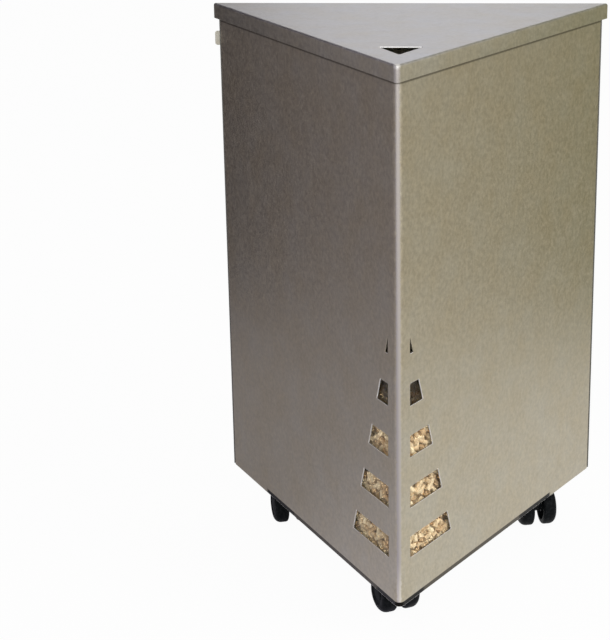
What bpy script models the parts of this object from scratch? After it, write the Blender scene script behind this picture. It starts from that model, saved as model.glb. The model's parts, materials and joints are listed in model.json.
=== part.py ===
"""A triangular steel bin for wood pellets, with a hinged lid, on three twin-wheel casters.

Metres, +Z up, the windowed front corner towards -Y. The origin is on the floor, under the middle
of the bin's bounding box. An empty holds the bin's own frame: its origin is the middle of the plan,
level with the bottom edge of the walls.
"""

import math

import bmesh
import bpy
from mathutils import Matrix, Vector

# Clearances
GAP = 0.0003  # between pieces that rest on each other
WELD = 0.00001  # points this close are one point
CUT = 0.004  # how far a cutter reaches past what it cuts

# Walls: an equilateral plan, measured to its sharp outer corners
SIDE = 0.480
WALL_HEIGHT = 0.6198
SHEET = 0.0015
FRONT_BEND = 0.006  # outer radius
REAR_BEND = 0.003  # outer radius
REAR_FLANGE = 0.020
BACK_MARGIN = 0.0012  # from the sharp rear corner to the edge of the back panel

# Floor pan
PAN_RECESS = 0.0058  # its underside, above the bottom edge of the walls
PAN_FLANGE = 0.015

# Sight windows, the bands of a tall right triangle beside the front bend
WINDOW_COUNT = 5
WINDOW_INSET = 0.0245  # from the sharp front corner, along the wall
WINDOW_BASE = 0.0542
WINDOW_FOOT = 0.0907  # width of the triangle at its base
WINDOW_RISE = 0.2645  # height of the triangle
WINDOW_HEIGHT = 0.0262
WINDOW_TIP = 0.0195  # height of the top window, which ends in a point
PANE = 0.002
PANE_LAP = 0.011  # how far a pane reaches past the windows

# Pellets
FILL_LEVEL = 0.2358

# Lid
LID_SHEET = 0.0012
LID_CLEARANCE = 0.0031  # between the walls and the skirt
LID_SKIRT = 0.0185
LID_CORNER = 0.003
LID_BEND = 0.0027  # outer radius
HOLE_WIDTH = 0.048  # across its back edge
HOLE_DEPTH = 0.047  # from its back edge to its point
HOLE_SETBACK = 0.065  # from the lid's sharp front corner to the hole's point
HOLE_CORNER = 0.0012

# Lid hinges
HINGE_SPREAD = 0.260  # between the middles of the two hinges
HINGE_DROP = 0.010  # from the top of the walls to the pins
HINGE_WIDTH = 0.050
KNUCKLE = 0.0032  # outer radius
LID_KNUCKLE_LENGTH = 0.024
LEAF = 0.0013
LEAF_RELIEF = 0.0006  # between a leaf and the other leaf's knuckle
LID_LEAF_MARGIN = 0.0006  # below the top of the lid
BODY_LEAF_DEPTH = 0.020  # below the pin
JOGGLE = 0.005  # height of the body leaf's step
PIN = 0.0016  # radius
PIN_HEAD = 0.0026  # radius
PIN_HEAD_HEIGHT = 0.0012
LEAF_EDGE = 0.008  # from the ends of a leaf to its rivets

# Scoop hook, on the back panel by the left rear corner
HOOK_LENGTH = 0.074
HOOK_HEIGHT = 0.0176
HOOK_THICKNESS = 0.004
HOOK_CORNER = 0.003
HOOK_REACH = 0.005  # past the sharp rear corner
HOOK_DROP = 0.0424  # from the top of the walls to its middle
HOOK_EDGE = 0.012  # from its inner end to the nearer rivet
HOOK_RIVET_SPACING = 0.020

# Blind rivets
RIVET = 0.0012  # shank radius, lid hinges and hook
RIVET_HEAD = 0.0025
RIVET_HEAD_HEIGHT = 0.0010
RIVET_CROWN = 0.0015  # radius of the flatter middle of the head
RIVET_CROWN_HEIGHT = 0.0008
RIVET_BULB = 0.0018
RIVET_BULB_HEIGHT = 0.0010
CASTER_RIVET_SCALE = 1.7

# Casters
CASTER_INSET = 0.0894  # from a sharp corner to the swivel axis
CASTER_TRAIL = 0.0193
FRONT_YAW = math.radians(26.3)
LEFT_YAW = math.radians(-163.3)
RIGHT_YAW = math.radians(-167.6)
PLATE_SIDE = 0.042
PLATE_CORNER = 0.005
PLATE = 0.0022
PLATE_EDGE = 0.006  # from the edges of a plate to its rivets
KINGPIN = 0.0035  # radius
KINGPIN_NECK = 0.0040
KINGPIN_FLANGE = 0.0070
KINGPIN_FLANGE_HEIGHT = 0.0014
KINGPIN_LENGTH = 0.026  # below the plate
CHAMFER = 0.0008
WHEEL = 0.0245  # radius
WHEEL_WIDTH = 0.018
WHEEL_OUTER_ROUND = 0.0088  # from the outer face over to the tread
WHEEL_INNER_ROUND = 0.003  # from the tread over to the inner face
WHEEL_DISH = 0.0012  # depth of the dished outer face
WHEEL_CAP = 0.009  # radius of the flat middle of the outer face
WHEEL_RIM = 0.006  # thickness of the rim
WHEEL_RECESS = 0.006  # depth of the hollow inner face
WHEEL_HUB = 0.0075
WHEEL_FACE = 0.006  # material left beyond the axle
AXLE = 0.003  # radius
HOOD_WEB = 0.0112
HOOD_SIDE_GAP = 0.0005  # between the web and a wheel
HOOD_TOP_GAP = 0.0015  # between a wheel and the hood
HOOD = 0.0022
HOOD_CLEARANCE = 0.0025  # between the hood and the rivet heads above it
HOOD_SIDE_INSET = 0.006  # from a wheel's outer face in to the side of the hood
HOOD_FRONT = math.radians(158)
HOOD_REAR = math.radians(40)
AXLE_BOSS = 0.0065  # radius of the web's end round the axle
BARREL_MARGIN = 0.0002  # from the web's faces in to the barrel

# Smoothness
BEND_STEPS = 6
CORNER_STEPS = 4
LID_BEND_STEPS = 3
ROUND_PROFILE = 0.5  # the bevel's value for a circular arc
UPRIGHT = 0.5  # a face stands up where its normal rises less than this
RIVET_STEPS = 10
PIN_STEPS = 16
HOOD_STEPS = 14
WHEEL_STEPS = 28

# The plan and the levels that follow from these
INRADIUS = SIDE / (2 * math.sqrt(3))
LID_OFFSET = LID_CLEARANCE + LID_SHEET
LID_UNDERSIDE = WALL_HEIGHT + GAP
LID_TOP = LID_UNDERSIDE + LID_SHEET
PAN_TOP = PAN_RECESS + SHEET
PIN_Y = INRADIUS + LID_OFFSET + GAP + KNUCKLE
PIN_Z = WALL_HEIGHT - HINGE_DROP
HINGE_RIVET_SPACING = HINGE_WIDTH - 2 * LEAF_EDGE
WINDOW_PITCH = (WINDOW_RISE - WINDOW_TIP) / (WINDOW_COUNT - 1)
PLATE_RIVET_SPACING = PLATE_SIDE - 2 * PLATE_EDGE
PLATE_BOTTOM = -GAP - PLATE
RIVETS_BOTTOM = PLATE_BOTTOM - GAP - RIVET_HEAD_HEIGHT * CASTER_RIVET_SCALE
HOOD_INNER = WHEEL + HOOD_TOP_GAP
CASTER_HEIGHT = WHEEL + HOOD_INNER + HOOD + HOOD_CLEARANCE - RIVETS_BOTTOM
FLOOR_DROP = CASTER_HEIGHT - PAN_RECESS
LID_FRONT = -2 * (INRADIUS + LID_OFFSET)
MIDDLE_Y = (LID_FRONT + LID_CORNER + PIN_Y + KNUCKLE) / 2
WHEEL_INNER = HOOD_WEB / 2 + HOOD_SIDE_GAP
WHEEL_Z = WHEEL - CASTER_HEIGHT


def start_scene():
    """Empties the scene and returns the collections for the parts and the cutters."""
    for old in list(bpy.data.objects):
        bpy.data.objects.remove(old)
    parts = bpy.data.collections.new("pellet_bin")
    cutters = bpy.data.collections.new("cutters")
    for collection in (parts, cutters):
        bpy.context.scene.collection.children.link(collection)
    return parts, cutters


PARTS, CUTTERS = start_scene()


def finish(name, colour, roughness, metallic=0.0, alpha=1.0):
    """A plain Principled material."""
    material = bpy.data.materials.new(name)
    material.use_nodes = True
    shader = material.node_tree.nodes["Principled BSDF"]
    shader.inputs["Base Color"].default_value = (*colour, 1.0)
    shader.inputs["Roughness"].default_value = roughness
    shader.inputs["Metallic"].default_value = metallic
    shader.inputs["Alpha"].default_value = alpha
    return material


SATIN_STEEL = finish("satin_steel", (0.42, 0.40, 0.35), 0.38, 1.0)
LID_STEEL = finish("lid_steel", (0.46, 0.44, 0.41), 0.36, 1.0)
ZINC_STEEL = finish("zinc_steel", (0.55, 0.56, 0.57), 0.35, 1.0)
RIVET_STEEL = finish("rivet_steel", (0.50, 0.50, 0.50), 0.32, 1.0)
CLEAR_SHEET = finish("clear_sheet", (0.92, 0.94, 0.93), 0.08, 0.0, 0.25)
WOOD_PELLETS = finish("wood_pellets", (0.62, 0.45, 0.26), 0.85)
BLACK_NYLON = finish("black_nylon", (0.012, 0.013, 0.015), 0.38)
BLACK_TREAD = finish("black_tread", (0.010, 0.010, 0.011), 0.55)
PALE_PLASTIC = finish("pale_plastic", (0.60, 0.58, 0.53), 0.50)


# Outlines


def circle(radius, steps, centre=(0.0, 0.0)):
    """The points of a circle, anticlockwise."""
    turn = 2 * math.pi / steps
    return [
        (centre[0] + radius * math.cos(turn * i), centre[1] + radius * math.sin(turn * i))
        for i in range(steps)
    ]


def arc(radius, start, end, steps, centre):
    """The points of an arc from one angle to another."""
    angles = [start + (end - start) * i / steps for i in range(steps + 1)]
    return [(centre[0] + radius * math.cos(a), centre[1] + radius * math.sin(a)) for a in angles]


def box_outline(width, height, centre=(0.0, 0.0)):
    """The corners of a rectangle, anticlockwise."""
    across, up = width / 2, height / 2
    signs = ((-1, -1), (1, -1), (1, 1), (-1, 1))
    return [(centre[0] + x * across, centre[1] + y * up) for x, y in signs]


def triangle(wall_offset, back_offset):
    """The plan's corners, left rear, front and right rear, with its sides moved outwards."""
    front = -2 * (INRADIUS + wall_offset)
    back = INRADIUS + back_offset
    half = (back - front) / math.sqrt(3)
    return [(-half, back), (0.0, front), (half, back)]


def rounded(points, radii, steps, closed=True):
    """The points, with an arc of the given radius in place of each corner that has one."""
    outline = []
    last = len(points) - 1
    for i, radius in enumerate(radii):
        corner = Vector(points[i])
        if radius <= 0 or (not closed and i in (0, last)):
            outline.append(tuple(corner))
            continue
        before = (Vector(points[i - 1]) - corner).normalized()
        after = (Vector(points[(i + 1) % len(points)]) - corner).normalized()
        half = before.angle(after) / 2
        centre = corner + (before + after).normalized() * (radius / math.sin(half))
        first = corner + before * (radius / math.tan(half)) - centre
        second = corner + after * (radius / math.tan(half)) - centre
        turn = math.pi - 2 * half
        for step in range(steps + 1):
            share = step / steps
            spoke = first * math.sin((1 - share) * turn) + second * math.sin(share * turn)
            outline.append(tuple(centre + spoke / math.sin(turn)))
    return outline


def band(path, thickness):
    """The outline of a strip bent along an open path, with mitred corners."""
    points = [Vector(point) for point in path]
    ways = [(b - a).normalized() for a, b in zip(points, points[1:])]
    left, right = [], []
    for i, point in enumerate(points):
        before = ways[max(i - 1, 0)].orthogonal()
        after = ways[min(i, len(ways) - 1)].orthogonal()
        mitre = (before + after) * (thickness / 2 / (1 + before.dot(after)))
        left.append(tuple(point + mitre))
        right.append(tuple(point - mitre))
    return left + right[::-1]


# Meshes and objects


def sheet(loops, thickness):
    """A flat sheet centred on the XY plane: the first loop is its edge and the rest are holes."""
    curve = bpy.data.curves.new("outline", "CURVE")
    curve.dimensions = "2D"
    curve.fill_mode = "BOTH"
    curve.extrude = thickness / 2
    for loop in loops:
        spline = curve.splines.new("POLY")
        spline.points.add(len(loop) - 1)
        for point, (x, y) in zip(spline.points, loop):
            point.co = (x, y, 0.0, 1.0)
        spline.use_cyclic_u = True
    guide = bpy.data.objects.new("outline", curve)
    CUTTERS.objects.link(guide)
    graph = bpy.context.evaluated_depsgraph_get()
    mesh = bpy.data.meshes.new_from_object(guide.evaluated_get(graph))
    bpy.data.objects.remove(guide)
    bpy.data.curves.remove(curve)
    body = bmesh.new()
    body.from_mesh(mesh)
    bmesh.ops.remove_doubles(body, verts=body.verts, dist=WELD)
    bmesh.ops.recalc_face_normals(body, faces=body.faces)
    body.to_mesh(mesh)
    body.free()
    return mesh


def rim_rounded(mesh, radius):
    """A flat sheet with the rim of its upper face rounded over."""
    body = bmesh.new()
    body.from_mesh(mesh)
    rim = [
        edge
        for edge in body.edges
        if min(vertex.co.z for vertex in edge.verts) > 0
        and any(abs(face.normal.z) < UPRIGHT for face in edge.link_faces)
    ]
    bmesh.ops.bevel(
        body,
        geom=rim,
        offset=radius,
        segments=LID_BEND_STEPS,
        profile=ROUND_PROFILE,
        affect="EDGES",
        clamp_overlap=True,
    )
    body.to_mesh(mesh)
    body.free()
    return mesh


def rod(radius, length, steps):
    """A cylinder along Z, centred on the origin."""
    mesh = bpy.data.meshes.new("rod")
    body = bmesh.new()
    bmesh.ops.create_cone(
        body, cap_ends=True, segments=steps, radius1=radius, radius2=radius, depth=length
    )
    body.to_mesh(mesh)
    body.free()
    return mesh


def place(x=0.0, y=0.0, z=0.0, turn=None):
    """A matrix that turns a mesh and then moves it."""
    return Matrix.Translation((x, y, z)) @ (turn or Matrix.Identity(4))


# Turns that stand a flat sheet up: its X and Y become world X and Z, or world Y and Z
FACE_BACK = Matrix(((1, 0, 0, 0), (0, 0, -1, 0), (0, 1, 0, 0), (0, 0, 0, 1)))
FACE_SIDE = Matrix(((0, 0, 1, 0), (1, 0, 0, 0), (0, 1, 0, 0), (0, 0, 0, 1)))
ALONG_X = Matrix.Rotation(math.pi / 2, 4, "Y")
ALONG_MINUS_X = Matrix.Rotation(-math.pi / 2, 4, "Y")
ALONG_Y = Matrix.Rotation(-math.pi / 2, 4, "X")
DOWN = Matrix.Rotation(math.pi, 4, "X")


def add_piece(name, mesh, material, parent, matrix):
    """Adds one sub-part, placed in its parent's frame."""
    mesh.name = name
    mesh.materials.clear()
    mesh.materials.append(material)
    piece = bpy.data.objects.new(name, mesh)
    PARTS.objects.link(piece)
    piece.parent = parent
    piece.matrix_local = matrix
    return piece


def add_frame(name, parent, location, yaw=0.0):
    """An empty that holds a frame, on a joint's axis where its pieces move."""
    empty = bpy.data.objects.new(name, None)
    PARTS.objects.link(empty)
    empty.parent = parent
    empty.location = location
    empty.rotation_euler = (0.0, 0.0, yaw)
    return empty


def shape(piece, operation, mesh, matrix):
    """Cuts a mesh from a piece, or joins it on, in the frame of the piece's parent."""
    tool = bpy.data.objects.new(piece.name + "_tool", mesh)
    CUTTERS.objects.link(tool)
    tool.parent = piece.parent
    tool.matrix_local = matrix
    tool.hide_render = True
    tool.display_type = "WIRE"
    boolean = piece.modifiers.new(operation.lower(), "BOOLEAN")
    boolean.operation = operation
    boolean.object = tool


def smooth(piece, angle=math.radians(35)):
    """Shades a round piece smooth, apart from its sharp edges."""
    piece.data.shade_smooth()
    piece.data.set_sharp_from_angle(angle=angle)


def add_turned(name, profile, steps, material, parent, matrix):
    """A turned piece from (radius, height) points that run down its outer side."""
    mesh = bpy.data.meshes.new(name)
    points = [(radius, 0.0, height) for radius, height in profile]
    edges = [(i, i + 1) for i in range(len(points) - 1)]
    mesh.from_pydata(points, edges, [])
    piece = add_piece(name, mesh, material, parent, matrix)
    screw = piece.modifiers.new("turn", "SCREW")
    screw.steps = steps
    screw.render_steps = steps
    screw.use_merge_vertices = True
    screw.merge_threshold = WELD
    screw.use_smooth_shade = True
    return piece


def add_rivet(name, grip, parent, matrix, scale=1.0):
    """A blind rivet along Z: its head sits on the origin's plane, and it grips what is below."""
    head, shank, bulb = RIVET_HEAD * scale, RIVET * scale, RIVET_BULB * scale
    head_top = GAP + RIVET_HEAD_HEIGHT * scale
    bulb_top = -grip - GAP
    bulb_bottom = bulb_top - RIVET_BULB_HEIGHT * scale
    profile = [
        (0.0, head_top),
        (RIVET_CROWN * scale, GAP + RIVET_CROWN_HEIGHT * scale),
        (head, GAP),
        (shank, GAP),
        (shank, bulb_top),
        (bulb, bulb_top),
        (shank, bulb_bottom),
        (0.0, bulb_bottom),
    ]
    return add_turned(name, profile, RIVET_STEPS, RIVET_STEEL, parent, matrix)


def rivet_hole(scale=1.0):
    """The radius of the hole for a rivet."""
    return RIVET * scale + GAP


# The walls, floor and what they hold


def wall_frame(side):
    """The plane of a wall's outer face: X along the wall, Y up, Z outwards, from the front corner.

    The side is 1 for the right wall and -1 for the left, where distances run along -X.
    """
    along = Vector((0.5, side * math.sqrt(3) / 2, 0.0))
    up = Vector((0.0, 0.0, 1.0))
    frame = Matrix((along, up, along.cross(up))).transposed().to_4x4()
    frame.translation = (0.0, -2 * INRADIUS, 0.0)
    return frame


def window_outlines(side):
    """The windows of one wall, from the bottom one up, in the frame of that wall."""
    top = WINDOW_BASE + WINDOW_RISE

    def outer(z):
        return side * (WINDOW_INSET + WINDOW_FOOT * (top - z) / WINDOW_RISE)

    outlines = []
    inner = side * WINDOW_INSET
    for i in range(WINDOW_COUNT):
        low = WINDOW_BASE + i * WINDOW_PITCH
        high = min(low + WINDOW_HEIGHT, top)
        outline = [(inner, low), (outer(low), low), (outer(high), high)]
        if high < top:
            outline.append((inner, high))
        outlines.append(outline)
    return outlines


def add_front_shell(frame):
    """Both side walls, one sheet bent round the front corner, with a return flange at each rear."""
    back = -(SHEET + GAP + SHEET / 2)
    left, front, right = triangle(-SHEET / 2, back)
    ends = [(left[0] + REAR_FLANGE, left[1]), (right[0] - REAR_FLANGE, right[1])]
    rear, nose = REAR_BEND - SHEET / 2, FRONT_BEND - SHEET / 2
    path = rounded(
        [ends[0], left, front, right, ends[1]], [0, rear, nose, rear, 0], BEND_STEPS, closed=False
    )
    shell = add_piece(
        "front_shell",
        sheet([band(path, SHEET)], WALL_HEIGHT),
        SATIN_STEEL,
        frame,
        place(z=WALL_HEIGHT / 2),
    )
    for side in (-1, 1):
        for outline in window_outlines(side):
            shape(shell, "DIFFERENCE", sheet([outline], 2 * (SHEET + CUT)), wall_frame(side))
    smooth(shell)


def add_panes(frame):
    """A clear strip behind the windows of each wall."""
    low = WINDOW_BASE - PANE_LAP
    high = WINDOW_BASE + WINDOW_RISE + PANE_LAP
    near = WINDOW_INSET - PANE_LAP
    far = WINDOW_INSET + WINDOW_FOOT + PANE_LAP
    for side, name in ((-1, "window_pane_left"), (1, "window_pane_right")):
        outline = box_outline(far - near, high - low, (side * (near + far) / 2, (low + high) / 2))
        depth = -(SHEET + GAP + PANE / 2)
        add_piece(name, sheet([outline], PANE), CLEAR_SHEET, frame, wall_frame(side) @ place(z=depth))


def hinge_places():
    """The middle of each hinge along the back."""
    return (("left", -HINGE_SPREAD / 2), ("right", HINGE_SPREAD / 2))


def body_rivet_height():
    """The level of the rivets in the hinges' body leaves."""
    flat_top = PIN_Z - KNUCKLE - LEAF_RELIEF - JOGGLE
    return (flat_top + PIN_Z - BODY_LEAF_DEPTH) / 2


def hook_rivet_places():
    """The rivets of the scoop hook, across the back panel."""
    inner = -SIDE / 2 - HOOK_REACH + HOOK_LENGTH - HOOK_EDGE
    return (inner - HOOK_RIVET_SPACING, inner)


def add_back_panel(frame):
    """A flat sheet over the rear flanges, with holes for the hinges and the hook."""
    width = SIDE - 2 * BACK_MARGIN
    loops = [box_outline(width, WALL_HEIGHT, (0.0, WALL_HEIGHT / 2))]
    for _, middle in hinge_places():
        for end in (-1, 1):
            centre = (middle + end * HINGE_RIVET_SPACING / 2, body_rivet_height())
            loops.append(circle(rivet_hole(), RIVET_STEPS, centre))
    for x in hook_rivet_places():
        loops.append(circle(rivet_hole(), RIVET_STEPS, (x, WALL_HEIGHT - HOOK_DROP)))
    matrix = place(y=INRADIUS - SHEET / 2, turn=FACE_BACK)
    add_piece("back_panel", sheet(loops, SHEET), SATIN_STEEL, frame, matrix)


def caster_places():
    """Each caster's name, its swivel axis in the plan and the way its wheels trail at rest."""
    reach = 2 * INRADIUS - CASTER_INSET
    across, back = reach * math.sqrt(3) / 2, reach / 2
    return (
        ("front", (0.0, -reach), FRONT_YAW),
        ("left", (-across, back), LEFT_YAW),
        ("right", (across, back), RIGHT_YAW),
    )


def plate_turn(x, y):
    """How far a caster's plate is turned, to stand square to the corner's middle line."""
    return math.atan2(y, x) + math.pi / 2


def plate_rivets(centre, turn):
    """The four rivets of a caster's plate."""
    square = box_outline(PLATE_RIVET_SPACING, PLATE_RIVET_SPACING)
    rotation = Matrix.Rotation(turn, 2)
    return [tuple(Vector(centre) + rotation @ Vector(corner)) for corner in square]


def add_floor_pan(frame):
    """A tray between the walls, which carries the pellets and the casters."""
    wall, back = -(SHEET + GAP), -2 * (SHEET + GAP)
    nose, rear = (max(bend - SHEET - GAP, GAP) for bend in (FRONT_BEND, REAR_BEND))
    outline = rounded(triangle(wall, back), [rear, nose, rear], CORNER_STEPS)
    height = SHEET + PAN_FLANGE
    pan = add_piece(
        "floor_pan",
        sheet([outline], height),
        SATIN_STEEL,
        frame,
        place(z=PAN_RECESS + height / 2),
    )
    depth = PAN_FLANGE + CUT
    hollow = sheet([triangle(wall - SHEET, back - SHEET)], depth)
    shape(pan, "DIFFERENCE", hollow, place(z=PAN_TOP + depth / 2))
    for _, centre, _ in caster_places():
        for x, y in plate_rivets(centre, plate_turn(*centre)):
            hole = rod(rivet_hole(CASTER_RIVET_SCALE), SHEET + 2 * CUT, RIVET_STEPS)
            shape(pan, "DIFFERENCE", hole, place(x, y, PAN_RECESS + SHEET / 2))


def add_pellet_fill(frame):
    """The heap of pellets, as one block that stands on the floor pan."""
    wall = -(SHEET + PANE + 3 * GAP)
    back = -(3 * SHEET + 3 * GAP)
    low = PAN_TOP + 2 * GAP + RIVET_BULB_HEIGHT * CASTER_RIVET_SCALE
    height = FILL_LEVEL - low
    block = sheet([triangle(wall, back)], height)
    add_piece("pellet_fill", block, WOOD_PELLETS, frame, place(z=low + height / 2))


def add_scoop_hook(frame):
    """A round-cornered plate on the back panel, whose end stands past the left rear corner."""
    end = -SIDE / 2 - HOOK_REACH
    middle = WALL_HEIGHT - HOOK_DROP
    corners = box_outline(HOOK_LENGTH, HOOK_HEIGHT, (end + HOOK_LENGTH / 2, middle))
    loops = [rounded(corners, [HOOK_CORNER, 0, 0, HOOK_CORNER], BEND_STEPS)]
    for x in hook_rivet_places():
        loops.append(circle(rivet_hole(), RIVET_STEPS, (x, middle)))
    seat = INRADIUS + GAP
    matrix = place(y=seat + HOOK_THICKNESS / 2, turn=FACE_BACK)
    add_piece("scoop_hook", sheet(loops, HOOK_THICKNESS), PALE_PLASTIC, frame, matrix)
    for i, x in enumerate(hook_rivet_places()):
        grip = SHEET + GAP + HOOK_THICKNESS
        matrix = place(x, seat + HOOK_THICKNESS, middle, ALONG_Y)
        add_rivet(f"scoop_hook_rivet_{i + 1}", grip, frame, matrix)


# The lid and its hinges, in the frame of the hinge axis


def add_lid(pivot):
    """A folded sheet: a plate with a finger hole and a skirt, shorter at the back."""
    outline = rounded(triangle(LID_OFFSET, LID_OFFSET), [LID_CORNER] * 3, CORNER_STEPS)
    solid = rim_rounded(sheet([outline], LID_SKIRT), LID_BEND)
    lid = add_piece(
        "lid_cover", solid, LID_STEEL, pivot, place(y=-PIN_Y, z=LID_TOP - LID_SKIRT / 2 - PIN_Z)
    )
    inner_corner = max(LID_CORNER - LID_SHEET, GAP)
    inner_bend = max(LID_BEND - LID_SHEET, GAP)
    outline = rounded(triangle(LID_CLEARANCE, LID_CLEARANCE), [inner_corner] * 3, CORNER_STEPS)
    depth = LID_SKIRT + CUT
    hollow = rim_rounded(sheet([outline], depth), inner_bend)
    middle = LID_UNDERSIDE - depth / 2 - PIN_Z
    shape(lid, "DIFFERENCE", hollow, place(y=-PIN_Y, z=middle))
    apex = LID_FRONT + HOLE_SETBACK
    back = apex + HOLE_DEPTH
    corners = [(-HOLE_WIDTH / 2, back), (0.0, apex), (HOLE_WIDTH / 2, back)]
    hole = sheet([rounded(corners, [HOLE_CORNER] * 3, CORNER_STEPS)], 2 * (LID_SHEET + CUT))
    shape(lid, "DIFFERENCE", hole, place(y=-PIN_Y, z=LID_TOP - PIN_Z))
    # The back skirt ends at the pins, and the side skirts keep their corners
    near, far = INRADIUS + LID_CLEARANCE / 2, INRADIUS + LID_OFFSET + CUT
    relief = sheet([box_outline(SIDE + LID_CLEARANCE, far - near)], depth)
    shape(lid, "DIFFERENCE", relief, place(y=(near + far) / 2 - PIN_Y, z=-depth / 2))
    skirt = INRADIUS + LID_OFFSET - LID_SHEET / 2 - PIN_Y
    for _, centre in hinge_places():
        for end in (-1, 1):
            drill = rod(rivet_hole(), LID_SHEET + 2 * CUT, RIVET_STEPS)
            x = centre + end * HINGE_RIVET_SPACING / 2
            shape(lid, "DIFFERENCE", drill, place(x, skirt, lid_rivet_height(), ALONG_Y))
    smooth(lid)


def lid_rivet_height():
    """The level of the rivets in the hinges' lid leaves, above the pins."""
    leaf_top = LID_TOP - LID_LEAF_MARGIN - PIN_Z
    return (KNUCKLE + LEAF_RELIEF + leaf_top) / 2


def add_knuckle(leaf, length, x):
    """A round knuckle on a leaf."""
    shape(leaf, "UNION", rod(KNUCKLE, length, PIN_STEPS), place(x=x, turn=ALONG_X))


def bore_and_drill(leaf, middle, rivet_depth, rivet_height):
    """The pin's bore and the two rivet holes of a leaf."""
    bore = rod(PIN + GAP, HINGE_WIDTH + 2 * CUT, PIN_STEPS)
    shape(leaf, "DIFFERENCE", bore, place(x=middle, turn=ALONG_X))
    for end in (-1, 1):
        drill = rod(rivet_hole(), LEAF + 2 * CUT, RIVET_STEPS)
        x = middle + end * HINGE_RIVET_SPACING / 2
        shape(leaf, "DIFFERENCE", drill, place(x, rivet_depth, rivet_height, ALONG_Y))


def add_hinge(side, middle, fixed, pivot):
    """A butt hinge: a leaf on the lid's back skirt, a stepped leaf on the back panel and a pin."""
    name = f"hinge_{side}"
    on_knuckle = LEAF / 2 - KNUCKLE
    on_panel = INRADIUS + GAP + LEAF / 2 - PIN_Y
    relief = KNUCKLE + LEAF_RELIEF
    end_length = (HINGE_WIDTH - LID_KNUCKLE_LENGTH) / 2 - GAP
    end_middle = HINGE_WIDTH / 2 - end_length / 2
    centred = place(x=middle, turn=FACE_SIDE)

    leaf_top = LID_TOP - LID_LEAF_MARGIN - PIN_Z
    path = [(on_knuckle, 0.0), (on_knuckle, leaf_top)]
    strip = sheet([band(path, LEAF)], HINGE_WIDTH)
    lid_leaf = add_piece(f"{name}_lid_leaf", strip, ZINC_STEEL, pivot, centred)
    for end in (-1, 1):
        notch = sheet([box_outline(end_length + GAP + CUT, 2 * (KNUCKLE + CUT))], 2 * relief)
        x = middle + end * (end_middle + (CUT - GAP) / 2)
        shape(lid_leaf, "DIFFERENCE", notch, place(x=x))
    add_knuckle(lid_leaf, LID_KNUCKLE_LENGTH, middle)
    bore_and_drill(lid_leaf, middle, on_knuckle, lid_rivet_height())

    path = [
        (on_panel, -BODY_LEAF_DEPTH),
        (on_panel, -relief - JOGGLE),
        (on_knuckle, -relief),
        (on_knuckle, 0.0),
    ]
    strip = sheet([band(path, LEAF)], HINGE_WIDTH)
    body_leaf = add_piece(f"{name}_body_leaf", strip, ZINC_STEEL, fixed, centred)
    notch_depth = 2 * (CUT - on_panel)
    notch = sheet([box_outline(LID_KNUCKLE_LENGTH + 2 * GAP, notch_depth)], 2 * (relief + JOGGLE))
    shape(body_leaf, "DIFFERENCE", notch, place(x=middle))
    for end in (-1, 1):
        add_knuckle(body_leaf, end_length, middle + end * end_middle)
    bore_and_drill(body_leaf, middle, on_panel, body_rivet_height() - PIN_Z)

    half = HINGE_WIDTH / 2
    profile = [
        (0.0, half + GAP + PIN_HEAD_HEIGHT),
        (PIN_HEAD, half + GAP + PIN_HEAD_HEIGHT),
        (PIN_HEAD, half + GAP),
        (PIN, half + GAP),
        (PIN, -half - PIN_HEAD_HEIGHT),
        (0.0, -half - PIN_HEAD_HEIGHT),
    ]
    matrix = place(x=middle, turn=ALONG_X)
    add_turned(f"{name}_pin", profile, PIN_STEPS, ZINC_STEEL, fixed, matrix)

    for i, end in enumerate((-1, 1)):
        x = middle + end * HINGE_RIVET_SPACING / 2
        seat = place(x, on_knuckle + LEAF / 2, lid_rivet_height(), ALONG_Y)
        add_rivet(f"{name}_lid_rivet_{i + 1}", LEAF + GAP + LID_SHEET, pivot, seat)
        seat = place(x, on_panel + LEAF / 2, body_rivet_height() - PIN_Z, ALONG_Y)
        add_rivet(f"{name}_body_rivet_{i + 1}", LEAF + GAP + SHEET, fixed, seat)


# The casters, in the frame of the swivel axis: X along the axle, Y the way the wheels trail


def add_plate(name, bin_frame, centre):
    """The mounting plate and the rivets that hold it under the floor pan."""
    turn = plate_turn(*centre)
    square = box_outline(PLATE_SIDE, PLATE_SIDE)
    loops = [rounded(square, [PLATE_CORNER] * 4, CORNER_STEPS)]
    loops.append(circle(KINGPIN_NECK + GAP, PIN_STEPS))
    for hole in plate_rivets((0.0, 0.0), 0.0):
        loops.append(circle(rivet_hole(CASTER_RIVET_SCALE), RIVET_STEPS, hole))
    middle = PAN_RECESS - GAP - PLATE / 2
    matrix = place(*centre, middle, Matrix.Rotation(turn, 4, "Z"))
    add_piece(f"{name}_plate", sheet(loops, PLATE), ZINC_STEEL, bin_frame, matrix)
    for i, (x, y) in enumerate(plate_rivets(centre, turn)):
        seat = place(x, y, PAN_RECESS + PLATE_BOTTOM, DOWN)
        grip = PLATE + GAP + SHEET
        add_rivet(f"{name}_rivet_{i + 1}", grip, bin_frame, seat, CASTER_RIVET_SCALE)


def add_kingpin(name, swivel):
    """The pin that the hood swivels on, set in the plate."""
    shoulder = PLATE_BOTTOM - GAP
    tip = PLATE_BOTTOM - KINGPIN_LENGTH
    profile = [
        (0.0, -2 * GAP),
        (KINGPIN_NECK, -2 * GAP),
        (KINGPIN_NECK, shoulder),
        (KINGPIN_FLANGE, shoulder),
        (KINGPIN_FLANGE, shoulder - KINGPIN_FLANGE_HEIGHT),
        (KINGPIN, shoulder - KINGPIN_FLANGE_HEIGHT),
        (KINGPIN, tip + CHAMFER),
        (KINGPIN - CHAMFER, tip),
        (0.0, tip),
    ]
    add_turned(f"{name}_kingpin", profile, PIN_STEPS, ZINC_STEEL, swivel, Matrix.Identity(4))


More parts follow.
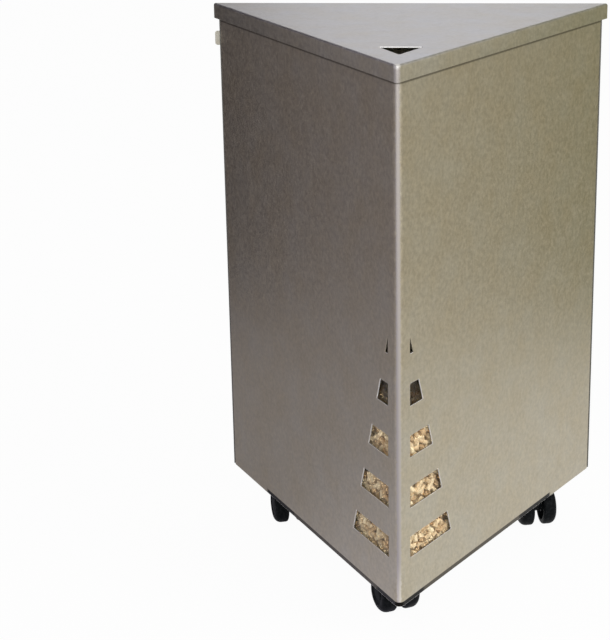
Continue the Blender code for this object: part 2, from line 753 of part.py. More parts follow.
def add_hood(name, swivel):
    """The moulded body: a web between the wheels, a barrel for the kingpin and a hood over all."""
    axle = (CASTER_TRAIL, WHEEL_Z)
    path = arc(HOOD_INNER + HOOD / 2, HOOD_REAR, HOOD_FRONT, HOOD_STEPS, axle)
    width = 2 * (WHEEL_INNER + WHEEL_WIDTH - HOOD_SIDE_INSET)
    side = place(turn=FACE_SIDE)
    hood = add_piece(f"{name}_hood", sheet([band(path, HOOD)], width), BLACK_NYLON, swivel, side)

    barrel = HOOD_WEB / 2 - BARREL_MARGIN
    top = PLATE_BOTTOM - 2 * GAP - KINGPIN_FLANGE_HEIGHT
    bottom = PLATE_BOTTOM - KINGPIN_LENGTH - 2 * CHAMFER
    # The web fills the hood, and narrows from the barrel to a boss round the axle
    foot = (CHAMFER - barrel, bottom + CHAMFER)
    boss = arc(AXLE_BOSS, math.pi, 2 * math.pi, HOOD_STEPS, axle)
    shape(hood, "UNION", sheet([[*path, foot, *boss]], HOOD_WEB), side)
    shape(hood, "UNION", rod(barrel, top - bottom, PIN_STEPS), place(z=(top + bottom) / 2))
    shape(hood, "DIFFERENCE", rod(KINGPIN + GAP, 2 * (top - bottom + CUT), PIN_STEPS), place(z=top))
    hole = rod(AXLE + GAP, HOOD_WEB + 2 * CUT, PIN_STEPS)
    shape(hood, "DIFFERENCE", hole, place(0, *axle, ALONG_X))
    smooth(hood)


def add_wheels(name, swivel):
    """The axle and the two dished wheels."""
    bore = WHEEL_WIDTH - WHEEL_FACE
    length = 2 * (WHEEL_INNER + bore - GAP)
    matrix = place(0, CASTER_TRAIL, WHEEL_Z, ALONG_X)
    axle = add_piece(f"{name}_axle", rod(AXLE, length, PIN_STEPS), ZINC_STEEL, swivel, matrix)
    smooth(axle)
    shoulder = (WHEEL - WHEEL_OUTER_ROUND, WHEEL_WIDTH - WHEEL_OUTER_ROUND)
    heel = (WHEEL - WHEEL_INNER_ROUND, WHEEL_INNER_ROUND)
    profile = [
        (0.0, WHEEL_WIDTH - WHEEL_DISH / 2),
        (WHEEL_CAP, WHEEL_WIDTH - WHEEL_DISH / 2),
        (WHEEL_CAP + CHAMFER, WHEEL_WIDTH - WHEEL_DISH),
        (shoulder[0] - WHEEL_DISH, WHEEL_WIDTH - WHEEL_DISH),
        *arc(WHEEL_OUTER_ROUND, math.pi / 2, 0.0, CORNER_STEPS, shoulder),
        *arc(WHEEL_INNER_ROUND, 0.0, -math.pi / 2, CORNER_STEPS, heel),
        (WHEEL - WHEEL_RIM, 0.0),
        (WHEEL - WHEEL_RIM, WHEEL_RECESS),
        (WHEEL_HUB, WHEEL_RECESS),
        (WHEEL_HUB, 0.0),
        (AXLE + GAP, 0.0),
        (AXLE + GAP, bore),
        (0.0, bore),
    ]
    for side, way, turn in (("left", -1, ALONG_MINUS_X), ("right", 1, ALONG_X)):
        matrix = place(way * WHEEL_INNER, CASTER_TRAIL, WHEEL_Z, turn)
        add_turned(f"{name}_wheel_{side}", profile, WHEEL_STEPS, BLACK_TREAD, swivel, matrix)


def main():
    frame = add_frame("bin_frame", None, (0.0, -MIDDLE_Y, FLOOR_DROP))
    add_front_shell(frame)
    add_panes(frame)
    add_back_panel(frame)
    add_floor_pan(frame)
    add_pellet_fill(frame)
    add_scoop_hook(frame)
    hinge_line = (0.0, PIN_Y, PIN_Z)
    fixed = add_frame("hinge_frame", frame, hinge_line)
    pivot = add_frame("lid_pivot", frame, hinge_line)
    add_lid(pivot)
    for side, middle in hinge_places():
        add_hinge(side, middle, fixed, pivot)
    for corner, centre, yaw in caster_places():
        name = f"caster_{corner}"
        swivel = add_frame(f"{name}_swivel", frame, (*centre, PAN_RECESS), yaw)
        add_plate(name, frame, centre)
        add_kingpin(name, swivel)
        add_hood(name, swivel)
        add_wheels(name, swivel)


main()
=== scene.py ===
"""The looks of a triangular steel bin for wood pellets: folded sheet, pellets, hinges and casters.

Laid out as a Blender add-on, and run as a script. Metres, +Z up, in the frame of the packed model,
with the windowed front corner towards -Y.
"""

import json
import math

import bmesh
import bpy
from bpy.props import FloatProperty, FloatVectorProperty, IntProperty, PointerProperty
from mathutils import Matrix, Vector


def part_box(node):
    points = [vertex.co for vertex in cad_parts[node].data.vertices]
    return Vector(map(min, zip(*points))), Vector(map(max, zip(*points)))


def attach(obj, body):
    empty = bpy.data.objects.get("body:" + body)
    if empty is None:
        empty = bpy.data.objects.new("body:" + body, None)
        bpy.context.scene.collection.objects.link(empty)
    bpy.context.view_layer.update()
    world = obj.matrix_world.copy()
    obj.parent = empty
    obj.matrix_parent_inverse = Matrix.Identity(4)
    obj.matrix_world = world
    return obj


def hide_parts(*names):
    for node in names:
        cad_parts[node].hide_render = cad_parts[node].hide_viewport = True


bl_info = {
    "name": "Pellet Bin",
    "version": (1, 0, 0),
    "blender": (4, 5, 0),
    "location": "View3D > Sidebar > Pellet Bin",
    "description": "Dresses a triangular pellet bin with its sheet metal, pellets, hinges and casters",
    "category": "Object",
}

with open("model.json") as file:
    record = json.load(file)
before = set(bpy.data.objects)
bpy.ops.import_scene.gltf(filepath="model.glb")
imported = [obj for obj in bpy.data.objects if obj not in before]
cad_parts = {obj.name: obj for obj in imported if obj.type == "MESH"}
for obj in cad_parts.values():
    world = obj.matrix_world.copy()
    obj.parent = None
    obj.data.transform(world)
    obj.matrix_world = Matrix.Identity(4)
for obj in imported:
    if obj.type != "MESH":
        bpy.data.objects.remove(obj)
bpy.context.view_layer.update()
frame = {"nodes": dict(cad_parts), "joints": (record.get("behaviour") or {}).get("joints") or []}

# Sheet metal, as in the packed solids
SHEET = 0.0015
LID_SHEET = 0.0012
FRONT_BEND = 0.006  # outer radius
REAR_BEND = 0.003  # outer radius
LID_CORNER = 0.003
LID_BEND = 0.0027  # outer radius
LID_CLEARANCE = 0.0031  # between the walls and the skirt
REAR_FLANGE = 0.020
GAP = 0.0003  # between pieces that rest on each other
WELD = 0.000001  # points this close are one point

# The heap of pellets
SLUMP = 0.014  # how far the pellets lie below the top of their packed solid
CORE_NOSE = 0.0165  # how far the middle of the heap reaches into the front corner
PELLET_SIDES = 12
PELLET_LAYERS = 2
PELLET_DENSITY = 90000.0  # tries for each square metre
LAYER_DRAWS = 10  # from one layer's first random draw to the next one's

# The painted shade along the foot of the walls
FOOT_END = 0.105  # how far back it runs
HOOD_BACK = 0.037  # where it turns black, before the rear casters' hoods
HOOD_SIDE = 0.0255  # where it is black to either side of the front corner

# Smoothness
BEND_STEPS = 14
CORNER_STEPS = 8
WINDOW_STEPS = 3
HOOD_STEPS = 36
WHEEL_STEPS = 72
BORE_STEPS = 32
RIVET_STEPS = 20
HOLD = 0.0012  # a row of points this far from a bend keeps the flat beside it flat
SHARP = math.radians(28)
SHEET_SHARP = math.radians(14)  # keeps flat sheet flat beside its soft edges
FLAT = math.radians(0.5)  # faces of a packed solid this close to level are one face
BEVELLED = math.radians(40)  # edges of a packed solid sharper than this are rounded
ALONG_SHEET = 0.95  # a face whose normal has more than this in one direction faces that way

# Places that the frame gives
SHELL_LOW, SHELL_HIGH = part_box("front_shell")
PANEL_LOW, PANEL_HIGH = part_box("back_panel")
LID_LOW, LID_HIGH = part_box("lid_cover")
FILL_LOW, FILL_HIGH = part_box("pellet_fill")
HOOK_LOW, HOOK_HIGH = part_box("scoop_hook")
JOINTS = {joint["name"]: joint for joint in frame["joints"]}
ROOT3 = math.sqrt(3)
BACK_Y = PANEL_HIGH.y
FRONT_Y = SHELL_LOW.y - FRONT_BEND  # the sharp corner that the front bend rounds off
SIDE = (BACK_Y - FRONT_Y) * 2 / ROOT3
WALL_HEIGHT = SHELL_HIGH.z - SHELL_LOW.z
PIN_Z = JOINTS["lid_hinge"]["pos_m"][2]
CASTERS = ("front", "left", "right")

# Turns that stand a flat sheet up: its X and Y become world X and Z, or world Y and Z
FACE_BACK = Matrix(((1, 0, 0, 0), (0, 0, -1, 0), (0, 1, 0, 0), (0, 0, 0, 1)))
FACE_SIDE = Matrix(((0, 0, 1, 0), (1, 0, 0, 0), (0, 1, 0, 0), (0, 0, 0, 1)))

# The materials by their short names, which the finishes operator makes
FINISHES = {}


def length(name, default, description):
    """A size in metres that a user may change."""
    return FloatProperty(
        name=name, default=default, min=0.0, precision=5, unit="LENGTH", description=description
    )


def colour(name, default, description):
    """A linear colour that a user may change."""
    return FloatVectorProperty(
        name=name, default=default, size=3, min=0.0, max=1.0, subtype="COLOR", description=description
    )


def amount(name, default, description):
    """A plain amount that a user may change."""
    return FloatProperty(name=name, default=default, min=0.0, description=description)


class PelletBinSheet(bpy.types.PropertyGroup):
    """The folded sheet metal."""

    edge: length("Edge", 0.0003, "Width of the softened edges of the sheets")
    window_count: IntProperty(name="Windows", default=5, min=1, description="Windows in each wall")
    window_inset: length("Window inset", 0.0245, "From the sharp front corner, along the wall")
    window_base: length("Window base", 0.0542, "From the bottom of the walls to the lowest window")
    window_foot: length("Window foot", 0.0907, "Width of the triangle that the windows are cut from")
    window_rise: length("Window rise", 0.2645, "Height of that triangle")
    window_height: length("Window height", 0.0262, "Height of a window")
    window_tip: length("Window tip", 0.0195, "Height of the top window, which ends in a point")
    window_corner: length("Window corner", 0.0003, "Radius of the windows' corners")
    hole_width: length("Hole width", 0.048, "Across the back edge of the lid's finger hole")
    hole_depth: length("Hole depth", 0.047, "From the hole's back edge to its point")
    hole_setback: length("Hole setback", 0.065, "From the lid's sharp front corner to that point")
    hole_corner: length("Hole corner", 0.0012, "Radius of the hole's corners")
    hole_lip: length("Hole lip", 0.00115, "Radius of the hole's upper edge")
    # Painted shade: a dark band along the foot of the walls
    foot_shade_height: length("Foot shade height", 0.0055, "Height of the dark band along the foot of the walls")
    # Half widths of the painted highlights on the front bend and the lid's front corner
    bend_highlight_band: length("Bend highlight band", 0.0025, "Half the width of the bright band on the front bend")
    corner_wear: length("Corner highlight band", 0.0034, "Half the width of the lid's painted corner highlight")
    # The walls' and the skirt's olive tint is a painted reflection of warm surroundings; the lid's plate
    # is a paler painted copy of the same steel
    wall_dark: colour("Wall dark", (0.40, 0.362, 0.285), "Darker speckle of the walls")
    wall_light: colour("Wall light", (0.54, 0.489, 0.378), "Lighter speckle of the walls")
    skirt_dark: colour("Skirt dark", (0.41, 0.383, 0.315), "Darker speckle of the lid's skirt")
    skirt_light: colour("Skirt light", (0.553, 0.517, 0.418), "Lighter speckle of the lid's skirt")
    lid_dark: colour("Lid dark", (0.427, 0.413, 0.423), "Darker speckle of the lid's plate")
    lid_light: colour("Lid light", (0.538, 0.523, 0.536), "Lighter speckle of the lid's plate")
    # Painted shade along the foot of the walls, black before the casters' hoods
    foot_shade: colour("Foot shade", (0.100, 0.088, 0.068), "The dark band along the foot of the walls")
    hood_shade: colour("Hood shade", (0.012, 0.011, 0.009), "That band before the casters' hoods")
    # Painted highlight at the foot of the front bend, a painted reflection of the floor
    bend_foot_highlight: colour("Bend foot highlight", (0.66, 0.615, 0.545), "The foot of the walls' front bend")
    # Painted shade on the back's upright ends, past the walls
    panel_end_shade: colour("Panel end shade", (0.13, 0.125, 0.11), "The back's upright edges, past the walls")
    # Painted highlights on the front bend and the lid's front corner
    bend_highlight: colour("Bend highlight", (0.45, 0.413, 0.383), "The walls' front bend, painted highlight")
    lid_corner_highlight: colour("Lid corner highlight", (0.455, 0.42, 0.395), "The lid's front corner, painted highlight")
    lid_tip_highlight: colour("Lid tip highlight", (0.66, 0.64, 0.62), "The top of that corner, brighter painted highlight")
    cut_steel: colour("Cut edge", (0.84, 0.81, 0.78), "Bare edges of the sheet, where it was cut")
    rubbed_lip: colour("Rubbed lip", (0.98, 0.975, 0.97), "The finger hole's upper edge, rubbed")


class PelletBinPellets(bpy.types.PropertyGroup):
    """The wood pellets."""

    radius: length("Radius", 0.003, "Radius of a pellet")
    shortest: length("Shortest", 0.007, "Length of the shortest pellets")
    longest: length("Longest", 0.0125, "Length of the longest pellets")
    spacing: length("Spacing", 0.0066, "Least distance between the middles of two pellets")
    seed: IntProperty(name="Seed", default=7, min=0, description="Picks how the pellets fall")
    pale: colour("Pale", (0.96, 0.79, 0.52), "Palest pellets")
    # Painted shade: the heap's top is a darker copy of the pellets' pale colour
    dust_and_shade: colour("Shaded heap", (0.46, 0.345, 0.20), "Palest pellets on the top of the heap")
    brown: colour("Brown", (0.41, 0.215, 0.075), "Brownest pellets")


class PelletBinFittings(bpy.types.PropertyGroup):
    """The casters, hinges and small fittings."""

    tread_round: length("Tread round", 0.0088, "Radius of the wheels' outer shoulders")
    hood_round: length("Hood round", 0.0009, "Radius of the hoods' edges")
    nylon: colour("Nylon", (0.0062, 0.0072, 0.0082), "Moulded hoods and wheels")
    zinc: colour("Zinc", (0.56, 0.57, 0.58), "Plated hinges and caster plates")
    hook_corner: length("Hook corner", 0.003, "Radius of the hook's corners")
    hook: colour("Hook", (0.66, 0.635, 0.56), "The hook's plastic")


class PelletBinStage(bpy.types.PropertyGroup):
    """The floor, the light and the camera."""

    focal: FloatProperty(
        name="Focal length", default=100.8, min=1.0, description="The camera's lens, in millimetres"
    )
    key: amount("Key", 24.0, "Power of the key light, in watts")
    front: amount("Front", 11.0, "Power of the front light, in watts")
    fill: amount("Fill", 0.55, "Strength of the even light")
    left_front: colour("Left, front", (0.32, 0.295, 0.335), "What the left wall mirrors by the corner")
    left_back: colour("Left, back", (0.016, 0.013, 0.014), "What the left wall mirrors at the rear")
    low_front: colour("Low left, front", (0.70, 0.69, 0.80), "What its foot mirrors by the corner")
    low_back: colour("Low left, back", (0.38, 0.367, 0.41), "What its foot mirrors at the rear")
    right_front: colour("Right, front", (0.64, 0.61, 0.54), "What the right wall mirrors by the corner")
    right_back: colour("Right, back", (0.33, 0.33, 0.20), "What the right wall mirrors at the rear")


# Outlines


def corners_between(front, back):
    """The left rear, front and right rear corners of a triangle like the bin's plan."""
    half = (back - front) / ROOT3
    return [(-half, back), (0.0, front), (half, back)]


def corners(wall_offset, back_offset):
    """The plan's corners, with its walls and its back moved outwards."""
    return corners_between(FRONT_Y - 2 * wall_offset, BACK_Y + back_offset)


def rounded(points, radius, steps):
    """A closed outline, with an arc in place of each corner."""
    if radius <= 0:
        return points
    outline = []
    for i, point in enumerate(points):
        corner = Vector(point)
        before = (Vector(points[i - 1]) - corner).normalized()
        after = (Vector(points[(i + 1) % len(points)]) - corner).normalized()
        half = before.angle(after) / 2
        centre = corner + (before + after).normalized() * (radius / math.sin(half))
        first = corner + before * (radius / math.tan(half)) - centre
        second = corner + after * (radius / math.tan(half)) - centre
        turn = math.pi - 2 * half
        for step in range(steps + 1):
            share = step / steps
            spoke = first * math.sin((1 - share) * turn) + second * math.sin(share * turn)
            outline.append(tuple(centre + spoke / math.sin(turn)))
    return outline


def box_outline(low, high):
    """The corners of a rectangle, anticlockwise."""
    return [(low[0], low[1]), (high[0], low[1]), (high[0], high[1]), (low[0], high[1])]


def arc(centre, radius, start, end, steps):
    """Points along an arc, whose angles are in degrees."""
    angles = [math.radians(start + (end - start) * i / steps) for i in range(steps + 1)]
    return [(centre[0] + radius * math.cos(a), centre[1] + radius * math.sin(a)) for a in angles]


class BentPath:
    """A path of straight runs and round bends, measured along its length."""

    def __init__(self, points, radii):
        points = [Vector(point) for point in points]
        self.runs = []
        self.length = 0.0
        trim = 0.0
        for i in range(len(points) - 1):
            way = (points[i + 1] - points[i]).normalized()
            start = points[i] + way * trim
            turn, cut = 0.0, 0.0
            if i + 2 < len(points):
                turn = way.angle_signed(points[i + 2] - points[i + 1]) * -1
                cut = radii[i + 1] * math.tan(abs(turn) / 2)
            self.add(start, way, (points[i + 1] - points[i]).length - trim - cut, 0.0, 0.0)
            if turn:
                self.add(points[i + 1] - way * cut, way, radii[i + 1] * abs(turn), radii[i + 1], turn)
            trim = cut

    def add(self, start, way, span, radius, turn):
        """Adds a run, which is straight if it has no turn."""
        self.runs.append((self.length, span, start, way, radius, turn))
        self.length += span

    def at(self, distance):
        """The point at that distance along the path, and the way to its right there."""
        run = next((r for r in self.runs if distance <= r[0] + r[1]), self.runs[-1])
        begin, _, start, way, radius, turn = run
        right = Vector((way.y, -way.x))
        if not turn:
            return start + way * (distance - begin), right
        side = math.copysign(1.0, turn)
        centre = start - right * radius * side
        swing = Matrix.Rotation((distance - begin) / radius * side, 2)
        return centre + swing @ (right * radius * side), swing @ right

    def bends(self):
        """Where each bend starts and ends."""
        return [(run[0], run[0] + run[1]) for run in self.runs if run[5]]


# Meshes


def evaluated_mesh(piece):
    """The mesh that an object's modifiers or curve give. The object goes."""
    graph = bpy.context.evaluated_depsgraph_get()
    mesh = bpy.data.meshes.new_from_object(piece.evaluated_get(graph), depsgraph=graph)
    data = piece.data
    bpy.data.objects.remove(piece)
    if data.users == 0 and isinstance(data, bpy.types.Mesh):
        bpy.data.meshes.remove(data)
    return mesh


def placed(name, data):
    """A new object of a mesh, a curve, a lamp or a camera."""
    piece = bpy.data.objects.new(name, data)
    bpy.context.scene.collection.objects.link(piece)
    return piece


def edited(mesh, work):
    """Runs work on the mesh as a bmesh."""
    body = bmesh.new()
    body.from_mesh(mesh)
    work(body)
    body.to_mesh(mesh)
    body.free()
    return mesh


def drafted(work):
    """A new mesh that work makes."""
    return edited(bpy.data.meshes.new("draft"), work)


def tidy(body):
    """Merges doubles and points the faces outwards."""
    bmesh.ops.remove_doubles(body, verts=body.verts, dist=WELD)
    bmesh.ops.recalc_face_normals(body, faces=body.faces)


def flat_sheet(loops, thickness, edge, edge_steps=1):
    """A sheet centred on the XY plane with soft edges: an outline and the holes in it."""
    curve = bpy.data.curves.new("outline", "CURVE")
    curve.dimensions = "2D"
    curve.fill_mode = "BOTH"
    curve.extrude = thickness / 2 - edge
    curve.bevel_depth = edge
    curve.bevel_resolution = edge_steps
    curve.offset = -edge
    for loop in loops:
        spline = curve.splines.new("POLY")
        spline.points.add(len(loop) - 1)
        for point, (x, y) in zip(spline.points, loop):
            point.co = (x, y, 0.0, 1.0)
        spline.use_cyclic_u = True
    return edited(evaluated_mesh(placed("work", curve)), tidy)


def fold(mesh, path, height):
    """Bends a flat sheet along a path: its X runs along the path, and its Y upwards from height."""

    def bend(body):
        lines = []
        for start, end in path.bends():
            lines += [start - HOLD, end + HOLD]
            lines += [start + (end - start) * i / BEND_STEPS for i in range(BEND_STEPS + 1)]
        for line in lines:
            geometry = body.verts[:] + body.edges[:] + body.faces[:]
            bmesh.ops.bisect_plane(body, geom=geometry, plane_co=(line, 0, 0), plane_no=(1, 0, 0))
        for vertex in body.verts:
            point, right = path.at(vertex.co.x)
            point = point + right * vertex.co.z
            vertex.co = (point.x, point.y, height + vertex.co.y)

    return edited(mesh, bend)


def loft(rings):
    """A closed skin of quads through rings of as many points, the last joined to the first."""

    def skin(body):
        rows = [[body.verts.new(point) for point in ring] for ring in rings]
        for row, following in zip(rows, rows[1:] + rows[:1]):
            for i in range(len(row)):
                body.faces.new((row[i - 1], row[i], following[i], following[i - 1]))
        tidy(body)

    return drafted(skin)


def turned(profile, steps):
    """A turned body about Z, from (radius, height) points that run down its outer side."""

    def spin(body):
        points = [body.verts.new((radius, 0.0, height)) for radius, height in profile]
        line = [body.edges.new(pair) for pair in zip(points, points[1:])]
        about = {"cent": (0, 0, 0), "axis": (0, 0, 1), "angle": 2 * math.pi}
        bmesh.ops.spin(body, geom=points + line, steps=steps, use_merge=True, **about)
        tidy(body)

    return drafted(spin)


def joined(mesh, *tools):
    """A mesh after Booleans with others: each tool is an operation, a mesh and a matrix."""
    piece = placed("work", mesh)
    others = []
    for operation, other, matrix in tools:
        other.transform(matrix)
        others.append(placed("work", other))
        boolean = piece.modifiers.new(operation, "BOOLEAN")
        boolean.operation = operation
        boolean.object = others[-1]
    result = evaluated_mesh(piece)
    for other in others:
        bpy.data.objects.remove(other)
    return result


def softened(node, width):
    """A copy of a packed solid with its sharp edges rounded."""

    def clean(body):
        bmesh.ops.remove_doubles(body, verts=body.verts, dist=WELD)
        bmesh.ops.dissolve_limit(body, angle_limit=FLAT, verts=body.verts, edges=body.edges)

    piece = placed("work", edited(frame["nodes"][node].data.copy(), clean))
    bevel = piece.modifiers.new("edges", "BEVEL")
    bevel.width = width
    bevel.segments = 2
    bevel.limit_method = "ANGLE"
    bevel.angle_limit = BEVELLED
    return evaluated_mesh(piece)


def add_piece(name, mesh, body, finishes, nodes=(), sharp=SHARP):
    """Adds a finished piece that rides on a body, and stands for the packed nodes."""
    mesh.name = name
    # Slots that are there are refilled: to clear them would forget which face has which
    for i, finish in enumerate(finishes):
        if i < len(mesh.materials):
            mesh.materials[i] = FINISHES[finish]
        else:
            mesh.materials.append(FINISHES[finish])
    mesh.shade_smooth()
    mesh.set_sharp_from_angle(angle=sharp)
    piece = placed(name, mesh)
    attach(piece, body)
    if nodes:
        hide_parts(*nodes)


def add_plated(node, body):
    """Adds a plated copy of a packed solid, with rounded edges."""
    add_piece(f"{node}_plated", softened(node, GAP), body, ["zinc"], [node])


def finish_node(node, finish):
    """Gives a packed node that stays its material."""
    mesh = frame["nodes"][node].data
    mesh.materials.clear()
    mesh.materials.append(FINISHES[finish])


# Node trees


def plug(tree, socket, value):
    """Links an input to a socket, or sets it to a value."""
    if isinstance(value, bpy.types.NodeSocket):
        tree.links.new(value, socket)
    else:
        socket.default_value = value


def add_node(tree, kind, inputs=None, **settings):
    """Adds a node with its settings, and links or sets its inputs."""
    made = tree.nodes.new(kind)
    for name, value in settings.items():
        setattr(made, name, value)
    for name, value in (inputs or {}).items():
        plug(tree, made.inputs[name], value)
    return made


def output(tree, kind, inputs=None, **settings):
    """The first output of a new node."""
    return add_node(tree, kind, inputs, **settings).outputs[0]


def new_group(name, kind, inputs, outputs):
    """A node group with named sockets, and the sockets of its input and output nodes."""
    tree = bpy.data.node_groups.new(name, kind)
    for in_out, sockets in (("INPUT", inputs), ("OUTPUT", outputs)):
        for label, socket in sockets.items():
            tree.interface.new_socket(label, in_out=in_out, socket_type="NodeSocket" + socket)
    return tree, tree.nodes.new("NodeGroupInput").outputs, tree.nodes.new("NodeGroupOutput").inputs


def opaque(rgb):
    """A colour with its alpha, or a socket as it is."""
    return rgb if isinstance(rgb, bpy.types.NodeSocket) else (*rgb, 1.0)


def times(rgb, share):
    """A colour made darker or lighter."""
    return tuple(share * part for part in rgb)


def mixed(tree, factor, first, second, blend="MIX"):
    """A mix of two colours."""
    inputs = {0: factor, 6: opaque(first), 7: opaque(second)}
    return add_node(tree, "ShaderNodeMix", inputs, data_type="RGBA", blend_type=blend).outputs[2]


def ranged(tree, value, low, high, start=0.0, end=1.0):
    """A value moved from one range to another."""
    inputs = {"Value": value, "From Min": low, "From Max": high, "To Min": start, "To Max": end}
    return output(tree, "ShaderNodeMapRange", inputs)


def between(tree, mask, start, end):
    """One value where a mask is zero, and another where it is one."""
    return ranged(tree, mask, 0.0, 1.0, start, end)


def worked(tree, operation, value, *others):
    """The result of a sum on a value and others in turn."""
    for other in others:
        value = output(tree, "ShaderNodeMath", {0: value, 1: other}, operation=operation)
    return value


def make_grain_group():
    """Fine grain, broad mottling and the marks of handling, for any surface."""
    tree, given, result = new_group(
        "surface_grain",
        "ShaderNodeTree",
        {"Vector": "Vector", "Grain Scale": "Float", "Mottle Scale": "Float"},
        {"Grain": "Float", "Mottle": "Float", "Marks": "Float"},
    )
    marks_scale = worked(tree, "MULTIPLY", given["Mottle Scale"], 3.1)
    # Each noise has a scale, a detail, a roughness, and the values that become zero and one
    for name, scale, detail, roughness, low, high in (
        ("Grain", given["Grain Scale"], 2.0, 0.6, 0.3, 0.7),
        ("Mottle", given["Mottle Scale"], 5.0, 0.62, 0.32, 0.68),
        ("Marks", marks_scale, 2.0, 0.5, 0.5, 0.72),
    ):
        inputs = {"Vector": given["Vector"], "Scale": scale, "Detail": detail, "Roughness": roughness}
        noise = output(tree, "ShaderNodeTexNoise", inputs)
        tree.links.new(ranged(tree, noise, low, high), result[name])


def make_streak_group():
    """Fine lines along one way, for cut edges."""
    tree, given, result = new_group(
        "fine_streaks",
        "ShaderNodeTree",
        {"Vector": "Vector", "Stretch": "Vector", "Scale": "Float"},
        {"Streaks": "Float"},
    )
    inputs = {0: given["Vector"], 1: given["Stretch"]}
    stretched = output(tree, "ShaderNodeVectorMath", inputs, operation="MULTIPLY")
    inputs = {"Vector": stretched, "Scale": given["Scale"], "Detail": 2.0}
    noise = output(tree, "ShaderNodeTexNoise", inputs)
    tree.links.new(ranged(tree, noise, 0.35, 0.65), result["Streaks"])


def make_highlight_band_group():
    """A painted highlight: an upright band about the plane X = 0, no further back than a given Y, with a
    broken edge.
    """
    tree, given, result = new_group(
        "corner_wear",
        "ShaderNodeTree",
        {"Vector": "Vector", "Half Width": "Float", "Back": "Float"},
        {"Wear": "Float"},
    )
    fade = 0.001
    place = add_node(tree, "ShaderNodeSeparateXYZ", {0: given["Vector"]}).outputs
    noise = output(tree, "ShaderNodeTexNoise", {"Vector": given["Vector"], "Scale": 260.0})
    ragged = ranged(tree, noise, 0.3, 0.7, -0.25, 0.25)
    aside = worked(tree, "ABSOLUTE", place["X"], 0.0)
    share = worked(tree, "ADD", worked(tree, "DIVIDE", aside, given["Half Width"]), ragged)
    behind = worked(tree, "SUBTRACT", place["Y"], given["Back"])
    highlight_band_mask = worked(tree, "MULTIPLY", ranged(tree, share, 1.2, 0.7), ranged(tree, behind, fade, -fade))
    tree.links.new(highlight_band_mask, result["Wear"])


class Finish:
    """A material under way: its node tree, its Principled shader and its Object coordinates."""

    def __init__(self, name):
        self.material = bpy.data.materials.new(name)
        self.material.use_nodes = True
        self.tree = self.material.node_tree
        self.shader = self.tree.nodes["Principled BSDF"]
        self.place = add_node(self.tree, "ShaderNodeTexCoord").outputs["Object"]

    def set(self, **values):
        """Sets or links the shader's inputs, whose names have underscores for spaces."""
        for name, value in values.items():
            plug(self.tree, self.shader.inputs[name.replace("_", " ")], value)

    def group(self, name, **values):
        """The outputs of a shared group, placed with its own values."""
        inputs = {key.replace("_", " "): value for key, value in values.items()}
        inputs["Vector"] = self.place
        tree = bpy.data.node_groups[name]
        return add_node(self.tree, "ShaderNodeGroup", inputs, node_tree=tree).outputs

    def grain(self, grain_scale, mottle_scale):
        """The outputs of the grain group."""
        return self.group("surface_grain", Grain_Scale=grain_scale, Mottle_Scale=mottle_scale)

    def bumped(self, height, strength, distance=0.0003):
        """The material, with a bump."""
        inputs = {"Height": height, "Strength": strength, "Distance": distance}
        self.set(Normal=output(self.tree, "ShaderNodeBump", inputs))
        return self.material

    def shown(self, share, other):
        """The material, where another shader takes a share of the surface."""
        inputs = {0: share, 1: self.shader.outputs[0], 2: other}
        return self.surfaced(output(self.tree, "ShaderNodeMixShader", inputs))

    def surfaced(self, shader):
        """The material, with that shader as its surface."""
        self.tree.links.new(shader, self.tree.nodes["Material Output"].inputs["Surface"])
        return self.material


class SatinSheet(Finish):
    """Satin stainless sheet under way: fine speckle over faint patches, some warmer and some greyer."""

    warm = (1.02, 1.0, 0.96)
    grey = (0.97, 0.99, 1.03)

    def __init__(self, name):
        super().__init__(name)
        tree = self.tree
        self.marks = self.grain(210.0, 21.0)
        mottle, grain = self.marks["Mottle"], self.marks["Grain"]
        broad, fine = worked(tree, "MULTIPLY", mottle, 0.25), worked(tree, "MULTIPLY", grain, 0.75)
        self.tone = worked(tree, "ADD", broad, fine)
        self.tint = mixed(tree, mottle, self.warm, self.grey)
        handled = between(tree, self.marks["Marks"], 0.0, 0.05)
        self.rough = worked(tree, "ADD", between(tree, grain, 0.40, 0.48), handled)
        place = add_node(tree, "ShaderNodeSeparateXYZ", {0: self.place}).outputs
        self.aside = worked(tree, "ABSOLUTE", place["X"], 0.0)
        self.depth, self.height = place["Y"], place["Z"]

    def speckled(self, dark, light):
        """The sheet's colour, between a dark and a light one."""
        return mixed(self.tree, 1.0, mixed(self.tree, self.tone, dark, light), self.tint, "MULTIPLY")

    def highlight_band_mask(self, half_width, back):
        """The mask of the corner highlight band group, where a highlight is painted."""
        return self.group("corner_wear", Half_Width=half_width, Back=back)["Wear"]

    def finished(self, steel, rough, metal=1.0):
        """The material, in that colour and roughness."""
        self.set(Base_Color=steel, Roughness=rough, Metallic=metal)
        return self.bumped(self.marks["Grain"], 0.10, 0.0004)


